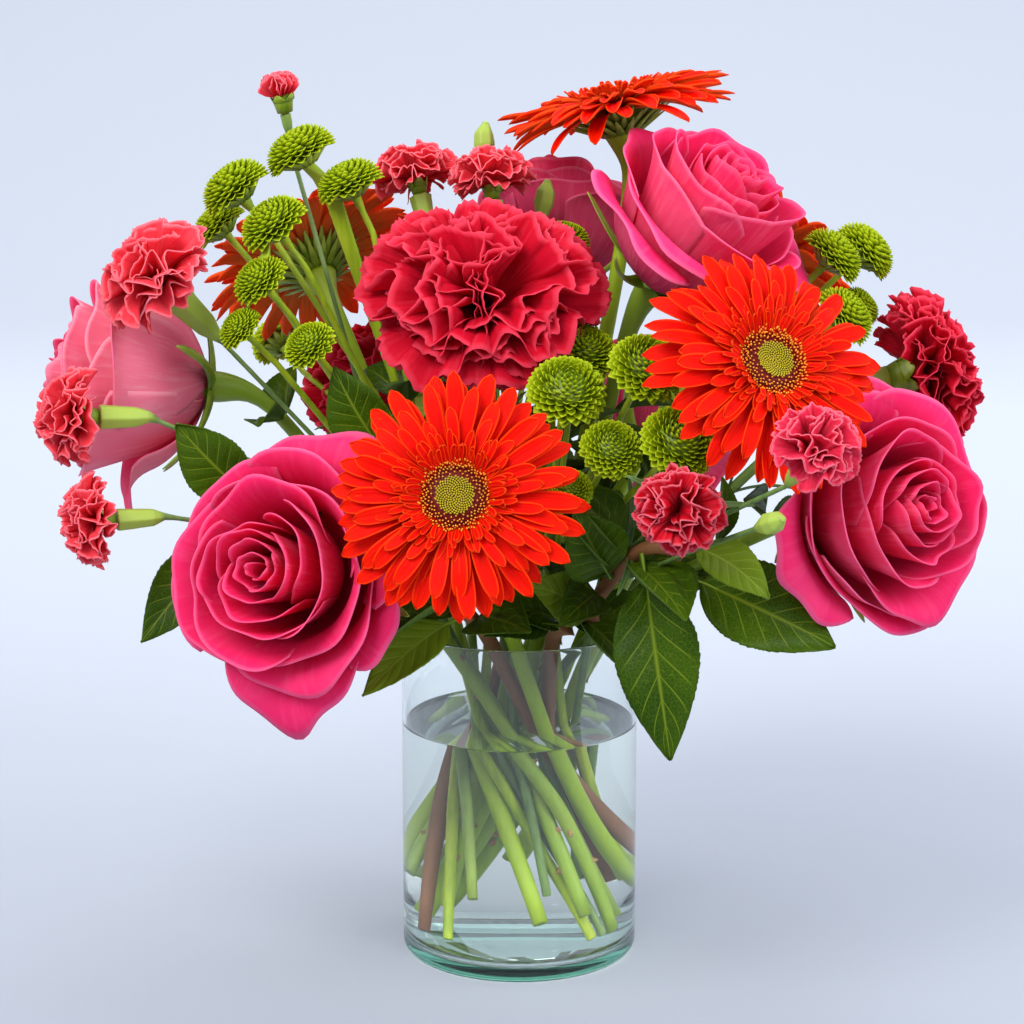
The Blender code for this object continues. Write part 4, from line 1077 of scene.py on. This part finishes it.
# Heights up the stems are metres above the vase's foot.
for order, node in enumerate(sorted(NODES)):
    if node in ("vase", "water"):
        continue
    if node.startswith("leaf_"):
        leaf(node, LEAF_LOOKS.get(node, "leaf"), order)
    elif node.startswith("salal_"):
        stem(node, "bark", 0.5 * MILLI)
        leaflets(node, 0.150, 0.230, 5, 50 * MILLI, order)
    elif node.startswith("pom_spray"):
        spray(node, "bright_stem", button_heads(node))
        leaflets(node, 0.155, 0.250, 5, 38 * MILLI, order)
    elif node.startswith("spray_stem"):
        spray(node, "blue_stem")
        narrow_leaves(node, 0.155, 0.225, 3, 36 * MILLI, order)
    elif node == "spray_bud_left":
        shut = {"widest": 16, "taller": 1.5, "cup": 2.2}
        carnation(node, "coral", "spray_carnation", order, 18, 0.03, 2.6 * MILLI, **shut)
    elif node.startswith("spray_"):
        carnation(node, SPRAY_LOOKS.get(node, "coral"), "spray_carnation", order, 22, 0.14, 2.2 * MILLI)
    elif node.endswith("_stem"):
        kind = "bright_stem" if node.startswith("gerbera") else "pale_stem"
        stem(node, "blue_stem" if node.startswith("carnation") else kind, 0.45 * MILLI)
        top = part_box(node)[1][2]
        if node.startswith("carnation"):
            narrow_leaves(node, 0.160, top - 0.015, 3, 38 * MILLI, order)
        elif node.startswith("rose"):
            leaflets(node, 0.155, min(top - 0.012, 0.245), 4, 42 * MILLI, order)
            thorns(node, 0.030, 0.150, 5, order)
    elif node.startswith("gerbera"):
        gerbera(node, order)
    elif node.startswith("rose"):
        look = "pale_rose" if node == "rose_left" else "rose"
        rose(node, look, order, 0.4 * order, GUARDS.get(node, USUAL_GUARDS))
    elif node.startswith("carnation"):
        carnation(node, "carnation", "carnation", order, 46, 0.11, 5.0 * MILLI, hearts=0.30)
vase_and_water()


# ---- stage ------------------------------------------------------------------------------------------


def stage():
    """A seamless pale floor that curves up into the backdrop, painted darker towards the front and lighter
    far back for the fall of the light, five soft lights and the camera.
    """
    s = Surface("backdrop")
    where = s.where()
    # Painted shade and light: the floor darkens towards the camera and lightens towards the back.
    back = s.mask(s.node("SeparateXYZ", {0: where}).outputs["Y"], -0.4, 1.2)
    colour = s.mix(back, (0.290, 0.318, 0.372), (0.545, 0.580, 0.640))
    far = s.node("VectorMath", {0: where}, operation="LENGTH").outputs["Value"]
    # Painted light: the far floor and backdrop turn paler still.
    colour = s.mix(s.mask(far, 2.7, 5.0), colour, (0.84, 0.87, 0.92))
    s.finish(colour, None, 0.0, Roughness=0.9, Specular_IOR_Level=0.1)
    front, start, bend, top, side = -20.0, 1.6, 1.4, 6.0, 12
    run = [(front, 0.0), (0.0, 0.0), (start, 0.0)]
    run += arc(start, bend, bend, -90, 0, 24)[1:] + [(start + bend, top)]
    mesh = bpy.data.meshes.new("backdrop")
    points = [(x, y, z) for y, z in run for x in (-side, side)]
    faces = [(2 * k, 2 * k + 1, 2 * k + 3, 2 * k + 2) for k in range(len(run) - 1)]
    mesh.from_pydata(points, [], faces)
    mesh.shade_smooth()
    mesh.materials.append(s.material)
    sweep = bpy.data.objects.new("backdrop", mesh)
    bpy.context.scene.collection.objects.link(sweep)
    for name, place, size, power, colour in (
        ("key", (-1.1, -1.5, 1.9), 1.4, 64, (1.0, 0.98, 0.95)),
        ("fill", (1.8, -1.6, 1.5), 1.5, 40, (0.96, 0.98, 1.0)),
        ("top", (0.2, 0.9, 2.2), 1.4, 22, (1.0, 1.0, 1.0)),
        ("left_card", (-1.8, 0.3, 1.4), 1.4, 9, (0.92, 0.96, 1.0)),
        ("right_card", (1.8, 0.3, 1.4), 1.4, 20, (0.92, 0.96, 1.0)),
    ):
        light = bpy.data.lights.new(name, "AREA")
        light.shape, light.size, light.energy, light.color = "SQUARE", size, power, colour
        lamp = bpy.data.objects.new(name, light)
        lamp.location = place
        lamp.rotation_euler = (Vector((0, 0, 0.2)) - lamp.location).to_track_quat("-Z", "Y").to_euler()
        lamp.visible_camera = False
        bpy.context.scene.collection.objects.link(lamp)
    world = bpy.data.worlds.new("studio")
    world.use_nodes = True
    background = world.node_tree.nodes["Background"]
    background.inputs["Color"].default_value = (0.84, 0.89, 1.0, 1)
    background.inputs["Strength"].default_value = 0.70
    bpy.context.scene.world = world
    camera = bpy.data.cameras.new("camera")
    camera.lens, camera.sensor_width, camera.clip_start = 116.8, 36, 0.05
    eye = bpy.data.objects.new("camera", camera)
    eye.location = (-0.0031, -1.36, 0.506)
    eye.rotation_euler = (math.radians(77), 0, 0)
    bpy.context.scene.collection.objects.link(eye)
    bpy.context.scene.camera = eye
    bpy.context.scene.view_settings.view_transform = "Standard"


stage()
